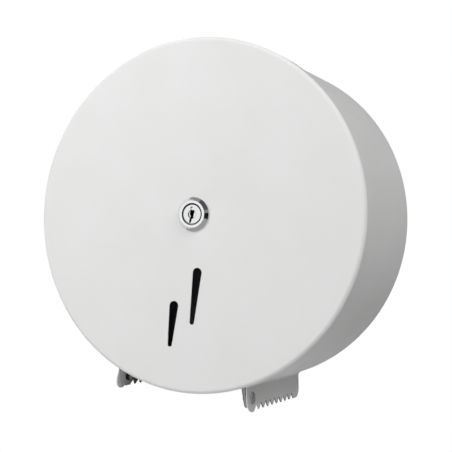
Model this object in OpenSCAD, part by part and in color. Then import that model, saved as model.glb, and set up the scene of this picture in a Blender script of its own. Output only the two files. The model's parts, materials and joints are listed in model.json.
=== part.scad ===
// Jumbo toilet roll dispenser: a round sheet-steel drum for a wall.
// A back plate and a rolled band make the base. The band's two ends are bent
// down into toothed tear plates, and a drawn lid swings down on two rivets at
// the front of these plates. A cam lock in the lid catches in the spindle's end.
// Frame: +Z is up, +Y points into the wall, the front faces -Y. The origin is on
// the drum's axis in the plane of the wall. All sizes are in millimetres.

/* [Drum] */
// Outside diameter of the lid
drum_d = 270; // [255:1:300]
// Depth from the wall to the lid's front face
drum_depth = 122; // [112:1:140]
// Thickness of the painted steel sheet
sheet_t = 1; // [0.8:0.1:1.4]
// Depth of the back plate's turned-up edge
pan_depth = 9; // [6:0.5:14]
// Radius of the back plate's pressed corner
pan_corner_r = 3; // [2:0.5:5]
// Gap between the back plate's edge and the band that is welded round it
weld_gap = 0.05; // [0.02:0.01:0.1]

/* [Lid] */
// Radius of the lid's rolled front edge
edge_r = 3; // [2:0.5:9]
// Depth of the lid's rim behind its front face
rim_depth = 16; // [14:0.5:20]
// Length of band that the rim covers when the lid is shut
rim_overlap = 6; // [4:0.5:8]
// Gap between the rim and the band
rim_gap = 0.6; // [0.5:0.1:1]
// Width of the stretch at the bottom where the rim is cut away for the paper
rim_cut_w = 121; // [119:1:130]

/* [Sight slots] */
// Distance of each slot from the lid's centre line
slot_x = 8.2; // [6:0.1:12]
// Radius of a slot's wide upper end
slot_top_r = 3.65; // [2.5:0.05:4.5]
// Radius of a slot's narrow lower end
slot_bottom_r = 1.8; // [1:0.05:2.4]
// Drop from the drum's axis to the wide end of the upper slot, on the right
upper_slot_drop = 43.4; // [35:0.1:50]
// Length between the end centres of the upper slot
upper_slot_l = 37.6; // [30:0.1:42]
// Drop from the drum's axis to the wide end of the lower slot, on the left
lower_slot_drop = 70.6; // [60:0.1:75]
// Length between the end centres of the lower slot
lower_slot_l = 29.4; // [24:0.1:34]

/* [Tear plates] */
// Distance between the mid-planes of the two plates at the hinge axis
plate_span = 110.6; // [100:0.2:114]
// Lean of each plate, outwards as it goes down
plate_splay = 8; // [4:0.5:10]
// Inside radius of the bend between the band and a plate
bend_r = 3.5; // [2.5:0.5:5]
// Radius of the hinge lobe at a plate's front end
lobe_r = 10.5; // [9.5:0.1:12]
// Height of the hinge axis above the drum's lowest point
hinge_rise = 2.4; // [1:0.1:4]
// Distance of the tooth tips below the drum's lowest point
tip_drop = 7; // [6:0.1:8]
// Number of teeth on a plate
tooth_count = 8; // [5:1:8]
// Spacing of the teeth
tooth_pitch = 9.5; // [8:0.1:9.8]
// Depth of the notches between teeth
tooth_depth = 5; // [3:0.1:6]
// Width of the flat on a tooth's tip
tooth_flat = 1.4; // [0.8:0.1:2]
// Radius at the root of a notch
notch_r = 0.8; // [0.4:0.1:1]
// Distance from the hinge axis to the first tooth's tip
first_tip = 12.6; // [11:0.1:14]
// Radius of a plate's rear lower corner
plate_corner_r = 8; // [5:0.5:10]

/* [Hinge] */
// Radius of the rivet shank
hinge_shank_r = 2.4; // [2:0.1:3]
// Radius of the rivet's flange on the outside of a tear plate
hinge_flange_r = 4.75; // [4:0.05:6]
// Thickness of the rivet's flange
hinge_flange_t = 1.1; // [0.8:0.1:1.5]
// Radius of the set tail inside the ear
hinge_tail_r = 3.6; // [3.4:0.1:4.5]
// Length of the set tail
hinge_tail_l = 3; // [2:0.1:4]
// Radius of the broken mandrel in the middle of the flange
mandrel_r = 0.85; // [0.6:0.05:1]
// Radius of the well round the mandrel
mandrel_well_r = 1.5; // [1.3:0.05:1.7]
// Depth of the well round the mandrel
mandrel_well = 0.9; // [0.4:0.1:1]
// Radius of the washer between a tear plate and an ear
hinge_washer_r = 5; // [4.5:0.1:5.5]
// Thickness of a hinge ear
ear_t = 1.2; // [1:0.1:1.6]
// Radius of an ear's eye
ear_r = 8; // [7:0.1:9]
// Width of the ear's foot on the back of the lid
ear_foot_w = 14; // [10:0.5:18]
// Height of the ear's foot
ear_foot_h = 26; // [20:0.5:32]
// Gap between an ear and the band's bend, and between an ear and the lid's lip
ear_gap = 0.6; // [0.5:0.1:1]
// Distance of the ear's foot from the start of the lid's rounded edge
ear_foot_gap = 3; // [2:0.5:5]
// Radial running clearance of the hinge
hinge_clear = 0.05; // [0.02:0.01:0.1]
// End play between an ear and what stands beside it
hinge_play = 0.1; // [0.05:0.05:0.2]

/* [Wall holes] */
// Distance between the wall holes from side to side
wall_hole_dx = 150; // [120:1:170]
// Distance between the wall holes from top to bottom
wall_hole_dz = 110; // [90:1:130]
// Diameter of a wall hole
wall_hole_d = 7; // [5:0.5:9]

/* [Spindle] */
// Outside diameter of the spindle tube
spindle_d = 32; // [30:0.5:36]
// Wall of the spindle tube
spindle_wall = 1.5; // [1.5:0.1:2]
// Diameter of the spindle's flange
flange_d = 62; // [58:1:68]
// Thickness of the spindle's flange
flange_t = 2; // [1.5:0.1:3]
// Distance of the flange rivets from the axis
flange_rivet_at = 25; // [24:0.5:27]
// Radius of a flange rivet's shank
flange_rivet_r = 2; // [1.5:0.1:2.5]
// Radius of a flange rivet's head
flange_head_r = 3.6; // [3:0.1:4]
// Height of a flange rivet's head
flange_head_h = 1.3; // [1:0.1:1.8]
// Clearance of a rivet in its hole
rivet_clear = 0.05; // [0.02:0.01:0.1]
// Thickness of the slotted cap in the spindle's end
cap_t = 1.5; // [1.2:0.1:2]
// Radial gap between the cap and the tube
cap_clear = 0.05; // [0.02:0.01:0.1]

/* [Roll hub] */
// Outside diameter of the hub, inside the roll's core
hub_d = 44; // [42:0.5:50]
// Thickness of the hub's outer sleeve and of its bush
hub_wall = 1.8; // [1.2:0.1:2]
// Radial running clearance of the hub on the spindle
hub_clear = 0.05; // [0.02:0.01:0.1]
// Number of ribs between the sleeve and the bush
hub_ribs = 6; // [4:1:8]
// Thickness of a rib
hub_rib_t = 1.6; // [1.2:0.1:2]
// Diameter of the hub's stop flange
hub_flange_d = 76; // [66:1:80]
// Thickness of the stop flange at its rim
hub_flange_t = 2.5; // [2:0.1:4]
// Thickness of the stop flange inside its rim
hub_web_t = 1.5; // [1.2:0.1:2]
// Chamfer at the hub's front end
hub_chamfer = 1; // [0.5:0.1:1.2]
// Thickness of the thrust washer behind the hub
rear_washer_t = 2.2; // [2:0.1:3]
// Gap between the rear thrust washer and the heads of the flange rivets
rear_washer_gap = 1; // [0.5:0.1:2]
// Thickness of the thrust washer in front of the hub
front_washer_t = 0.8; // [0.6:0.1:1.2]
// Thickness of the retaining ring
clip_t = 1.2; // [1:0.1:1.5]
// Depth of the retaining ring's groove
clip_groove = 0.6; // [0.4:0.1:0.8]
// Radial width of the retaining ring
clip_w = 3.2; // [2.5:0.1:4]
// Gap at each thrust face
thrust_gap = 0.15; // [0.1:0.05:0.3]

/* [Lock] */
// Diameter of the lock's head where it meets the lid
lock_base_d = 26; // [25:0.1:29]
// Diameter of the lock's head at its front
lock_face_d = 22.2; // [21:0.1:24]
// Height of the lock's head above the lid
lock_head_h = 3.4; // [3:0.1:6]
// Width of the bevel at the head's front edge
lock_bevel = 0.8; // [0.4:0.1:1]
// Height of the straight edge at the head's base
lock_step = 0.6; // [0.3:0.1:1]
// Diameter of the opening that shows the plug
plug_open_d = 16.6; // [16:0.1:17.4]
// Diameter of the plug's head
plug_head_d = 14.5; // [14:0.1:15.4]
// Depth of the plug's head
plug_head_h = 1.6; // [1.4:0.1:1.8]
// Depth of the plug's face below the rim of the lock
plug_sink = 0.5; // [0.2:0.1:1]
// Radius of the plug's body
plug_r = 6.4; // [6:0.1:6.6]
// Radial running clearance of the plug
plug_clear = 0.05; // [0.02:0.01:0.1]
// Diameter of the lock's barrel
barrel_d = 18; // [17.6:0.1:19]
// Distance across the barrel's two flats
barrel_flats = 16; // [15.5:0.1:17]
// Length of the barrel behind the lid's front face
barrel_l = 16; // [14:0.5:18]
// Clearance of the barrel in the lid
barrel_clear = 0.1; // [0.05:0.05:0.2]
// Thickness of the spring washer behind the lid
lock_washer_t = 1; // [0.8:0.1:1.5]
// Thickness of the lock's nut
nut_t = 3.5; // [3:0.1:5]
// Distance across the flats of the nut
nut_flats = 24; // [23:0.5:27]
// Width of the plug's square tail
tail_w = 6; // [5:0.1:6.4]
// Radius of the collar between the barrel and the cam
collar_r = 5; // [4.6:0.1:5.4]
// Thickness of the cam
cam_t = 2; // [1.5:0.1:2.5]
// Width of the cam's arm
cam_w = 9; // [8:0.1:10]
// Gap between the cam's tip and the inside of the spindle tube
cam_tip_gap = 2.5; // [2.2:0.1:3.5]
// Radius of the cam screw's shank
cam_screw_r = 2; // [1.5:0.1:2.2]
// Radius of the cam screw's head
cam_head_r = 3.8; // [3.4:0.1:4.4]
// Height of the cam screw's head
cam_head_h = 2.4; // [1.8:0.1:3]
// Width of the cross recess in the cam screw's head
cross_w = 0.8; // [0.6:0.1:1]
// Clearance between the cam and the slot that it passes
slot_clear = 1; // [0.6:0.1:1.2]
// Gap between the barrel, the cap and the cam along the axis
latch_gap = 0.5; // [0.4:0.1:0.8]
// Width of the keyway in its middle
key_w = 1.7; // [1.4:0.1:2]
// Width of the keyway's narrow ends
key_end_w = 1.2; // [0.8:0.1:1.4]
// Offset of the narrow ends to the left
key_shift = 0.8; // [0.4:0.1:1]
// Distance from the plug's centre to each end of the keyway
key_reach = 5.3; // [4.5:0.1:5.6]
// Depth of the keyway
key_depth = 13; // [8:0.5:14]
// Radius of the round pocket in the plug's face, round the keyway
key_pocket_r = 2.8; // [2.2:0.1:3]
// Depth of the pocket
key_pocket = 0.8; // [0.4:0.1:1.2]
// Depth of the groove from the keyway to the plug's lower edge
key_groove = 1.2; // [0.8:0.1:1.3]

/* [Hidden] */
$fn = 64;
big_fn = 180;
paint = "#e8e8e6";
chrome = "#c9ccd0";
zinc = "#9aa0a6";
nylon = "#f4f2ea";
hub_grey = "#b8bcc0";
// How far a cutting shape runs past what it cuts
over = 1;
// Share of a domed head's radius that is left at its top
dome = 0.6;
// Length by which the bend runs into the band and into the plate, and how much
// thinner it is there on each side, so that its ends lie inside the sheet
lap = 0.05;
tuck = 0.02;

// Radii and places of the sheet parts
drum_r = drum_d / 2;
lid_in_y = -(drum_depth - sheet_t);
band_r = drum_r - sheet_t - rim_gap;
band_mid_r = band_r - sheet_t / 2;
band_depth = drum_depth - rim_depth + rim_overlap;
hinge_front = band_depth - lobe_r;
hinge_y = -hinge_front;
hinge_z = -(drum_r - hinge_rise);
hinge_x = plate_span / 2;

// The bend lies between the band's circle and the plate's mid-plane and touches both
bend_mid_r = bend_r + sheet_t / 2;
bend_at = plate_splay + asin((bend_mid_r + hinge_x * cos(plate_splay) + hinge_z * sin(plate_splay))
    / (band_mid_r + bend_mid_r));
bend_x = (band_mid_r + bend_mid_r) * sin(bend_at);
bend_z = -(band_mid_r + bend_mid_r) * cos(bend_at);
bend_sweep = 90 + plate_splay - bend_at;
plate_top_x = bend_x - bend_mid_r * cos(plate_splay);
plate_top_z = bend_z - bend_mid_r * sin(plate_splay);
hinge_down = (plate_top_z - hinge_z) / cos(plate_splay);
tips_down = (plate_top_z + drum_r + tip_drop) / cos(plate_splay);

// Places along the hinge axis, on the right
plate_in_x = hinge_x - sheet_t / 2 / cos(plate_splay);
plate_out_x = hinge_x + sheet_t / 2 / cos(plate_splay);
ear_out_x = bend_x - bend_mid_r - sheet_t / 2 - ear_gap;
ear_in_x = ear_out_x - ear_t;
washer_in_x = ear_out_x + hinge_play;
washer_out_x = plate_in_x - hinge_washer_r * tan(plate_splay) - rivet_clear;
ear_foot_low = sqrt(pow(drum_r - edge_r, 2) - pow(ear_out_x, 2)) - ear_foot_gap;
lip_in_z = -sqrt(pow(drum_r - sheet_t, 2) - pow(ear_out_x, 2));
lip_rear = drum_depth - edge_r - sheet_t;

// Places along the drum's axis, as distances from the wall
barrel_end = drum_depth - barrel_l;
cap_front = barrel_end - latch_gap;
cam_front = cap_front - cap_t - latch_gap;
cam_rear = cam_front - cam_t;
spindle_base = sheet_t + flange_t;
spindle_in_r = spindle_d / 2 - spindle_wall;
cam_reach = spindle_in_r - cam_tip_gap;
hub_rear = spindle_base + rear_washer_t + 2 * thrust_gap;
clip_front = cap_front - cap_t - latch_gap;
clip_rear = clip_front - clip_t;
hub_front = clip_rear - front_washer_t - 2 * thrust_gap;
hub_bore_r = spindle_d / 2 + hub_clear;

// Turns children so that their +Z points to the front and their +Y points up
module facing_front(from_wall = 0) {
    translate([0, -from_wall, 0]) rotate([90, 0, 0]) children();
}

// Places children on the hinge axis with their +Z along +X
module on_hinge_axis(x = 0) {
    translate([x, hinge_y, hinge_z]) rotate([0, 90, 0]) children();
}

module ring(outer_r, inner_r, h) {
    difference() {
        cylinder(r = outer_r, h = h);
        translate([0, 0, -over]) cylinder(r = inner_r, h = h + 2 * over);
    }
}

// Half section of a solid disc with one rounded edge
module rounded_half(outer_r, depth, corner_r) {
    square([outer_r - corner_r, depth]);
    translate([0, corner_r]) square([outer_r, depth - corner_r]);
    translate([outer_r - corner_r, corner_r]) circle(r = corner_r);
}

// Half section of a drawn pan: flat floor, rounded corner and straight wall
module pan_half(outer_r, depth, corner_r) {
    difference() {
        rounded_half(outer_r, depth, corner_r);
        translate([0, sheet_t]) rounded_half(outer_r - sheet_t, depth, corner_r - sheet_t);
    }
}

// Slot with round ends of two sizes and straight sides that run from one to the other
module tapered_slot(top_r, bottom_r, len) {
    lean = asin((top_r - bottom_r) / len);
    top = (top_r - tuck) * [cos(lean), -sin(lean)];
    bottom = (bottom_r - tuck) * [cos(lean), -sin(lean)];
    circle(r = top_r);
    translate([0, -len]) circle(r = bottom_r);
    polygon([
        [-top[0], top[1]], [top[0], top[1]],
        [bottom[0], bottom[1] - len], [-bottom[0], bottom[1] - len]
    ]);
}

// Notch between two teeth: open towards +Y at 0, round at the root
module notch() {
    half_w = (tooth_pitch - tooth_flat) / 2;
    root = tooth_depth - notch_r;
    side = atan2(half_w, root) - asin(notch_r / norm([half_w, root]));
    touch = (notch_r - tuck) * [cos(side), -sin(side)];
    translate([0, -root]) circle(r = notch_r);
    polygon([
        [-half_w, over], [half_w, over], [half_w, 0],
        [touch[0], touch[1] - root], [-touch[0], touch[1] - root], [-half_w, 0]
    ]);
}

// Outline of a tear plate: X runs from the wall to the front, Y runs down the plate
module plate_outline() {
    difference() {
        union() {
            square([hinge_front, tips_down - plate_corner_r]);
            translate([plate_corner_r, 0]) square([hinge_front - plate_corner_r, tips_down]);
            translate([plate_corner_r, tips_down - plate_corner_r]) circle(r = plate_corner_r);
        }
        for (i = [0 : tooth_count]) {
            translate([hinge_front - first_tip + (0.5 - i) * tooth_pitch, tips_down]) notch();
        }
    }
    square([band_depth, hinge_down]);
    translate([hinge_front, hinge_down]) circle(r = lobe_r);
}

// Bend and tear plate at the right end of the band
module tear_end() {
    lap_turn = asin(lap / bend_mid_r);
    translate([bend_x, bend_z, 0]) rotate([0, 0, 90 + bend_at - lap_turn])
        rotate_extrude(angle = bend_sweep + 2 * lap_turn)
            translate([bend_r + tuck, 0]) square([sheet_t - 2 * tuck, band_depth]);
    translate([plate_top_x, plate_top_z, 0]) rotate([0, -90, 180 + plate_splay])
        linear_extrude(sheet_t, center = true) plate_outline();
}

module back_plate() {
    color(paint) difference() {
        facing_front() rotate_extrude($fn = big_fn)
            pan_half(band_r - sheet_t - weld_gap, pan_depth, pan_corner_r);
        for (x = [-1, 1], z = [-1, 1]) {
            translate([x * wall_hole_dx / 2, 0, z * wall_hole_dz / 2])
                facing_front(-over) cylinder(d = wall_hole_d, h = sheet_t + 2 * over);
        }
        facing_front(-over) flange_rivet_places()
            cylinder(r = flange_rivet_r + rivet_clear, h = sheet_t + 2 * over);
    }
}

module side_band() {
    color(paint) difference() {
        facing_front() {
            rotate([0, 0, bend_at - 90]) rotate_extrude(angle = 360 - 2 * bend_at, $fn = big_fn)
                translate([band_r - sheet_t, 0]) square([sheet_t, band_depth]);
            tear_end();
            mirror([1, 0, 0]) tear_end();
        }
        on_hinge_axis(-drum_r) cylinder(r = hinge_shank_r + hinge_clear, h = drum_d);
    }
}

module flange_rivet_places() {
    for (a = [45 : 90 : 315]) rotate([0, 0, a]) translate([flange_rivet_at, 0, 0]) children();
}

module spindle_flange() {
    color(zinc) facing_front(sheet_t) difference() {
        union() {
            cylinder(d = flange_d, h = flange_t / 2);
            translate([0, 0, flange_t / 2]) cylinder(d1 = flange_d, d2 = flange_d - flange_t, h = flange_t / 2);
        }
        translate([0, 0, -over]) flange_rivet_places()
            cylinder(r = flange_rivet_r + rivet_clear, h = flange_t + 2 * over);
    }
}

module flange_rivets() {
    color(zinc) facing_front() flange_rivet_places() {
        cylinder(r = flange_rivet_r, h = spindle_base + flange_head_h / 2);
        translate([0, 0, spindle_base]) cylinder(r = flange_head_r, h = flange_head_h / 3);
        translate([0, 0, spindle_base + flange_head_h / 3])
            cylinder(r1 = flange_head_r, r2 = flange_head_r * dome, h = flange_head_h * 2 / 3);
    }
}

module spindle_tube() {
    color(zinc) facing_front(spindle_base) difference() {
        ring(spindle_d / 2, spindle_in_r, cap_front - spindle_base);
        translate([0, 0, clip_rear - spindle_base - thrust_gap / 2])
            ring(spindle_d, spindle_d / 2 - clip_groove, clip_t + thrust_gap);
    }
}

// Outline of the cam, or with a clearance that of the slot which it passes when the
// lock is released
module cam_outline(clear = 0) {
    circle(r = collar_r + clear);
    intersection() {
        circle(r = cam_reach + clear);
        translate([-cam_w / 2 - clear, 0]) square([cam_w + 2 * clear, cam_reach + clear]);
    }
}

module spindle_cap() {
    color(zinc) facing_front(cap_front - cap_t) difference() {
        cylinder(r = spindle_in_r - cap_clear, h = cap_t);
        translate([0, 0, -over]) linear_extrude(cap_t + 2 * over) cam_outline(slot_clear);
    }
}

module rear_hub_washer() {
    color(nylon) facing_front(spindle_base + thrust_gap)
        ring(flange_rivet_at - flange_head_r - rear_washer_gap, hub_bore_r, rear_washer_t);
}

// Half section of the hub's turned form, without its ribs
module hub_half() {
    hub_l = hub_front - hub_rear;
    translate([hub_bore_r, 0]) square([hub_wall, hub_l]);
    polygon([
        [hub_d / 2 - hub_wall, 0], [hub_d / 2, 0], [hub_d / 2, hub_l - hub_chamfer],
        [hub_d / 2 - hub_chamfer, hub_l], [hub_d / 2 - hub_wall, hub_l]
    ]);
    translate([hub_bore_r, 0]) square([hub_flange_d / 2 - hub_bore_r, hub_web_t]);
    translate([hub_flange_d / 2 - hub_flange_t, 0]) square([hub_flange_t, hub_flange_t]);
}

module roll_hub() {
    color(hub_grey) facing_front(hub_rear) {
        rotate_extrude($fn = big_fn / 2) hub_half();
        for (i = [0 : hub_ribs - 1]) {
            rotate([0, 0, i * 360 / hub_ribs])
                translate([hub_bore_r + hub_wall / 2, -hub_rib_t / 2, 0])
                    cube([hub_d / 2 - hub_bore_r - hub_wall, hub_rib_t, hub_front - hub_rear - hub_chamfer]);
        }
    }
}

module front_hub_washer() {
    color(nylon) facing_front(hub_front + thrust_gap)
        ring(hub_d / 2 - hub_chamfer, hub_bore_r, front_washer_t);
}

module hub_retaining_ring() {
    seat_r = spindle_d / 2 - clip_groove + rivet_clear;
    color(zinc) facing_front(clip_rear) difference() {
        ring(seat_r + clip_w, seat_r, clip_t);
        translate([0, 0, -over]) rotate([0, 0, 225]) cube([spindle_d, spindle_d, clip_t + 2 * over]);
    }
}

// Blind rivet at the right: set tail, shank, and a flange that lies on the leaning plate
module hinge_rivet() {
    tail_x = ear_in_x - hinge_play;
    color(zinc) {
        on_hinge_axis(tail_x) cylinder(r = hinge_shank_r, h = plate_out_x + hinge_flange_t / 2 - tail_x);
        on_hinge_axis(tail_x - hinge_tail_l / 2) cylinder(r = hinge_tail_r, h = hinge_tail_l / 2);
        on_hinge_axis(tail_x - hinge_tail_l)
            cylinder(r1 = hinge_tail_r * dome, r2 = hinge_tail_r, h = hinge_tail_l / 2);
        translate([plate_out_x, hinge_y, hinge_z]) rotate([0, 90 - plate_splay, 0]) difference() {
            union() {
                cylinder(r = hinge_flange_r, h = hinge_flange_t / 3);
                translate([0, 0, hinge_flange_t / 3])
                    cylinder(r1 = hinge_flange_r, r2 = hinge_flange_r * dome, h = hinge_flange_t * 2 / 3);
            }
            translate([0, 0, hinge_flange_t - mandrel_well]) ring(mandrel_well_r, mandrel_r, hinge_flange_t);
        }
    }
}

module right_hinge_rivet() { hinge_rivet(); }

module left_hinge_rivet() { mirror([1, 0, 0]) hinge_rivet(); }

module hinge_washers() {
    color(zinc) for (side = [0, 1]) {
        mirror([side, 0, 0]) on_hinge_axis(washer_in_x)
            ring(hinge_washer_r, hinge_shank_r + hinge_clear, washer_out_x - washer_in_x);
    }
}

module lid_shell() {
    color(paint) difference() {
        facing_front(drum_depth) mirror([0, 0, 1]) rotate_extrude($fn = big_fn)
            pan_half(drum_r, rim_depth, edge_r);
        translate([-rim_cut_w / 2, -lip_rear, -drum_r - over]) cube([rim_cut_w, rim_depth, drum_r / 2]);
        facing_front(drum_depth - sheet_t - over) linear_extrude(sheet_t + 2 * over) {
            intersection() {
                circle(r = barrel_d / 2 + barrel_clear);
                square([barrel_flats + 2 * barrel_clear, barrel_d * 2], center = true);
            }
            translate([slot_x, -upper_slot_drop]) tapered_slot(slot_top_r, slot_bottom_r, upper_slot_l);
            translate([-slot_x, -lower_slot_drop]) tapered_slot(slot_top_r, slot_bottom_r, lower_slot_l);
        }
    }
}

// Hinge ear at the right: a foot on the back of the lid and a web that ends in an eye
module hinge_ear() {
    foot_top = ear_foot_h - ear_foot_low;
    color(paint) difference() {
        union() {
            translate([ear_out_x - ear_foot_w, lid_in_y, -ear_foot_low]) cube([ear_foot_w, ear_t, ear_foot_h]);
            translate([ear_out_x, 0, 0]) rotate([90, 0, -90]) linear_extrude(ear_t) {
                translate([-hinge_y, hinge_z]) circle(r = ear_r);
                ear_web(foot_top);
            }
        }
        on_hinge_axis(ear_in_x - over) cylinder(r = hinge_shank_r + hinge_clear, h = ear_t + 2 * over);
    }
}

// Point of an ear's eye, as an offset from the hinge axis, at which a straight edge
// from an offset point touches it; side is 1 for the upper edge and -1 for the lower
function eye_touch(from, side) =
    let (turn = atan2(from[1], from[0]) + side * acos(ear_r / norm(from)))
    ear_r * [cos(turn), sin(turn)];

// Web of an ear: X runs from the wall to the front, Y runs up. The lower edge steps
// round the lip that the lid keeps where its rim is cut away
module ear_web(foot_top) {
    hinge_at = [hinge_front, hinge_z];
    foot = [-lid_in_y, -ear_foot_low];
    top = [-lid_in_y, foot_top];
    step = [lip_rear - ear_gap, lip_in_z + ear_gap];
    polygon([
        foot, top, hinge_at + eye_touch(top - hinge_at, 1), hinge_at,
        hinge_at + eye_touch(step - hinge_at, -1), step
    ]);
}

module right_hinge_ear() { hinge_ear(); }

module left_hinge_ear() { mirror([1, 0, 0]) hinge_ear(); }

module lock_housing() {
    base_r = lock_base_d / 2;
    face_r = lock_face_d / 2;
    bore_r = plug_r + plug_clear;
    color(chrome) difference() {
        union() {
            facing_front(drum_depth) rotate_extrude() {
                polygon([
                    [0, 0], [base_r, 0], [base_r, lock_step], [face_r, lock_head_h - lock_bevel],
                    [face_r - lock_bevel, lock_head_h], [0, lock_head_h]
                ]);
            }
            facing_front(barrel_end) linear_extrude(barrel_l + lock_head_h / 2) intersection() {
                circle(d = barrel_d);
                square([barrel_flats, barrel_d * 2], center = true);
            }
        }
        facing_front(barrel_end - over) cylinder(r = bore_r, h = barrel_l + lock_head_h + 2 * over);
        facing_front(drum_depth + lock_head_h - plug_sink - plug_head_h - latch_gap)
            cylinder(d = plug_open_d, h = plug_head_h + lock_head_h);
    }
}

module lock_washer() {
    color(zinc) facing_front(drum_depth - sheet_t - lock_washer_t)
        ring(lock_base_d / 2 - lock_bevel, barrel_d / 2 + barrel_clear, lock_washer_t);
}

module lock_nut() {
    color(zinc) facing_front(drum_depth - sheet_t - lock_washer_t - nut_t) difference() {
        intersection() {
            cylinder(d = nut_flats / cos(30), h = nut_t, $fn = 6);
            cylinder(d1 = nut_flats, d2 = nut_flats + 2 * nut_t, h = nut_t);
        }
        translate([0, 0, -over]) cylinder(r = barrel_d / 2 + barrel_clear, h = nut_t + 2 * over);
    }
}

// Keyway in the plug: an upright slot whose two ends are narrower and offset
module keyway() {
    translate([-key_w / 2, -key_pocket_r]) square([key_w, 2 * key_pocket_r]);
    translate([-key_shift - key_end_w / 2, -key_reach]) square([key_end_w, 2 * key_reach]);
}

module lock_plug() {
    face = drum_depth + lock_head_h - plug_sink;
    color(chrome) difference() {
        union() {
            facing_front(face - plug_head_h) cylinder(d = plug_head_d, h = plug_head_h);
            facing_front(barrel_end) cylinder(r = plug_r, h = face - barrel_end - plug_head_h / 2);
            facing_front(cam_rear) translate([-tail_w / 2, -tail_w / 2, 0])
                cube([tail_w, tail_w, barrel_end - cam_rear + over]);
        }
        facing_front(face - key_depth) linear_extrude(key_depth + over) keyway();
        facing_front(face - key_pocket)
            cylinder(r1 = key_pocket_r - key_pocket, r2 = key_pocket_r + over, h = key_pocket + over);
        facing_front(face - key_groove) translate([-key_shift - key_end_w / 2, -plug_head_d, 0])
            cube([key_end_w, plug_head_d, key_groove + over]);
        facing_front(cam_rear - over) cylinder(r = cam_screw_r + rivet_clear, h = cam_t + 2 * over);
    }
}

module tail_hole() {
    square(tail_w + 2 * rivet_clear, center = true);
}

module cam_collar() {
    color(zinc) facing_front(cam_front) linear_extrude(barrel_end - cam_front - hinge_play) difference() {
        circle(r = collar_r);
        tail_hole();
    }
}

module lock_cam() {
    color(zinc) facing_front(cam_rear) linear_extrude(cam_t) difference() {
        cam_outline();
        tail_hole();
    }
}

module cam_washer() {
    color(zinc) facing_front(cam_rear - sheet_t) ring(collar_r, cam_screw_r + rivet_clear, sheet_t);
}

module cam_screw() {
    head_front = cam_rear - sheet_t;
    color(zinc) {
        facing_front(head_front - cam_head_h / 2) cylinder(r = cam_screw_r, h = cam_head_h / 2 + cam_t + sheet_t);
        facing_front(head_front - cam_head_h) difference() {
            union() {
                cylinder(r1 = cam_head_r * dome, r2 = cam_head_r, h = cam_head_h / 2);
                translate([0, 0, cam_head_h / 2]) cylinder(r = cam_head_r, h = cam_head_h / 2);
            }
            for (a = [0, 90]) {
                rotate([0, 0, a]) cube([cam_head_r, cross_w, cam_head_h], center = true);
            }
        }
    }
}

back_plate();
side_band();
spindle_flange();
flange_rivets();
spindle_tube();
spindle_cap();
rear_hub_washer();
roll_hub();
front_hub_washer();
hub_retaining_ring();
left_hinge_rivet();
right_hinge_rivet();
hinge_washers();
lid_shell();
left_hinge_ear();
right_hinge_ear();
lock_housing();
lock_washer();
lock_nut();
lock_plug();
cam_collar();
lock_cam();
cam_washer();
cam_screw();
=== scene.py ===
"""Looks of a wall-mounted jumbo toilet roll dispenser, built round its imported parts.

Sizes are written in millimetres and become metres when a mesh is made. The drum's
axis runs along Y: +Y points into the wall, the lid faces -Y and +Z is up. The origin
is on that axis in the plane of the wall.
"""

import json
import logging
import math
from dataclasses import dataclass
from enum import Enum
from functools import partial, reduce
from typing import Iterable, Sequence

import bmesh
import bpy
from mathutils import Matrix, Vector


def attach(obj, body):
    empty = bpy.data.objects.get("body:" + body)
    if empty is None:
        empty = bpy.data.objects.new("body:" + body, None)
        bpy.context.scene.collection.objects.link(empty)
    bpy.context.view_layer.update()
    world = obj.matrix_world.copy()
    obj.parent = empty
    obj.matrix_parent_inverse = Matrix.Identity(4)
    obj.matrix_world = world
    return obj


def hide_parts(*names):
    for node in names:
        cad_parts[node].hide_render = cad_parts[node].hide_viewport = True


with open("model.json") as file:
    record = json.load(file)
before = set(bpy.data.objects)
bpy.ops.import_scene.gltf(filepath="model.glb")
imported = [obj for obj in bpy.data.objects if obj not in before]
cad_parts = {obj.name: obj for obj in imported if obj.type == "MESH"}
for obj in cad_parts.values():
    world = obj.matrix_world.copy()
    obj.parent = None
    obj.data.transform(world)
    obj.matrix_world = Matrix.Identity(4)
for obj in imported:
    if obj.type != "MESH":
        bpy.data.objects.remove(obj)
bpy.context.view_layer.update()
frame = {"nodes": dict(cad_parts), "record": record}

log = logging.getLogger("dispenser")

MM = 0.001
WELD = 0.001 * MM
BIG_ROUND = 180
SMALL_ROUND = 72
SHARP_DEG = 32.0

# The range that most of a noise node's values are in, and a ring wave's spacing at scale 1
NOISE_MIDDLE = (0.3, 0.7)
WAVE_SPACING = 0.314

Point2 = tuple[float, float]
Corner = tuple[float, float, float]
BMesh = bmesh.types.BMesh
Material = bpy.types.Material
Object = bpy.types.Object
Socket = bpy.types.NodeSocket

# Turns a form that stands on +Z so that it faces the front, with its +Y upwards
FACING_FRONT = Matrix.Rotation(math.radians(90), 4, "X")


class Body(Enum):
    """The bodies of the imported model, which the pieces ride on."""

    BASE = "base"
    LID = "lid"
    LOCK = "lock"
    HUB = "hub"


class Slot(Enum):
    """The record's material slots."""

    PAINT = "paint"
    CHROME = "chrome"
    ZINC = "zinc"
    NYLON = "nylon"
    HUB = "hub_plastic"


class Side(Enum):
    """The two sides of the drum, as seen from the front."""

    LEFT = -1
    RIGHT = 1


# ---------------------------------------------------------------- outlines and meshes


def arc(centre: Point2, radius: float, start: float, end: float, steps: int) -> list[Point2]:
    """Points on a circle.

    Args:
        centre: The circle's centre.
        radius: Its radius.
        start: First angle in degrees.
        end: Last angle in degrees.
        steps: Number of steps between the two.

    Returns:
        The points, with both ends.
    """
    turns = [math.radians(start + (end - start) * i / steps) for i in range(steps + 1)]
    return [(centre[0] + radius * math.cos(t), centre[1] + radius * math.sin(t)) for t in turns]


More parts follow.
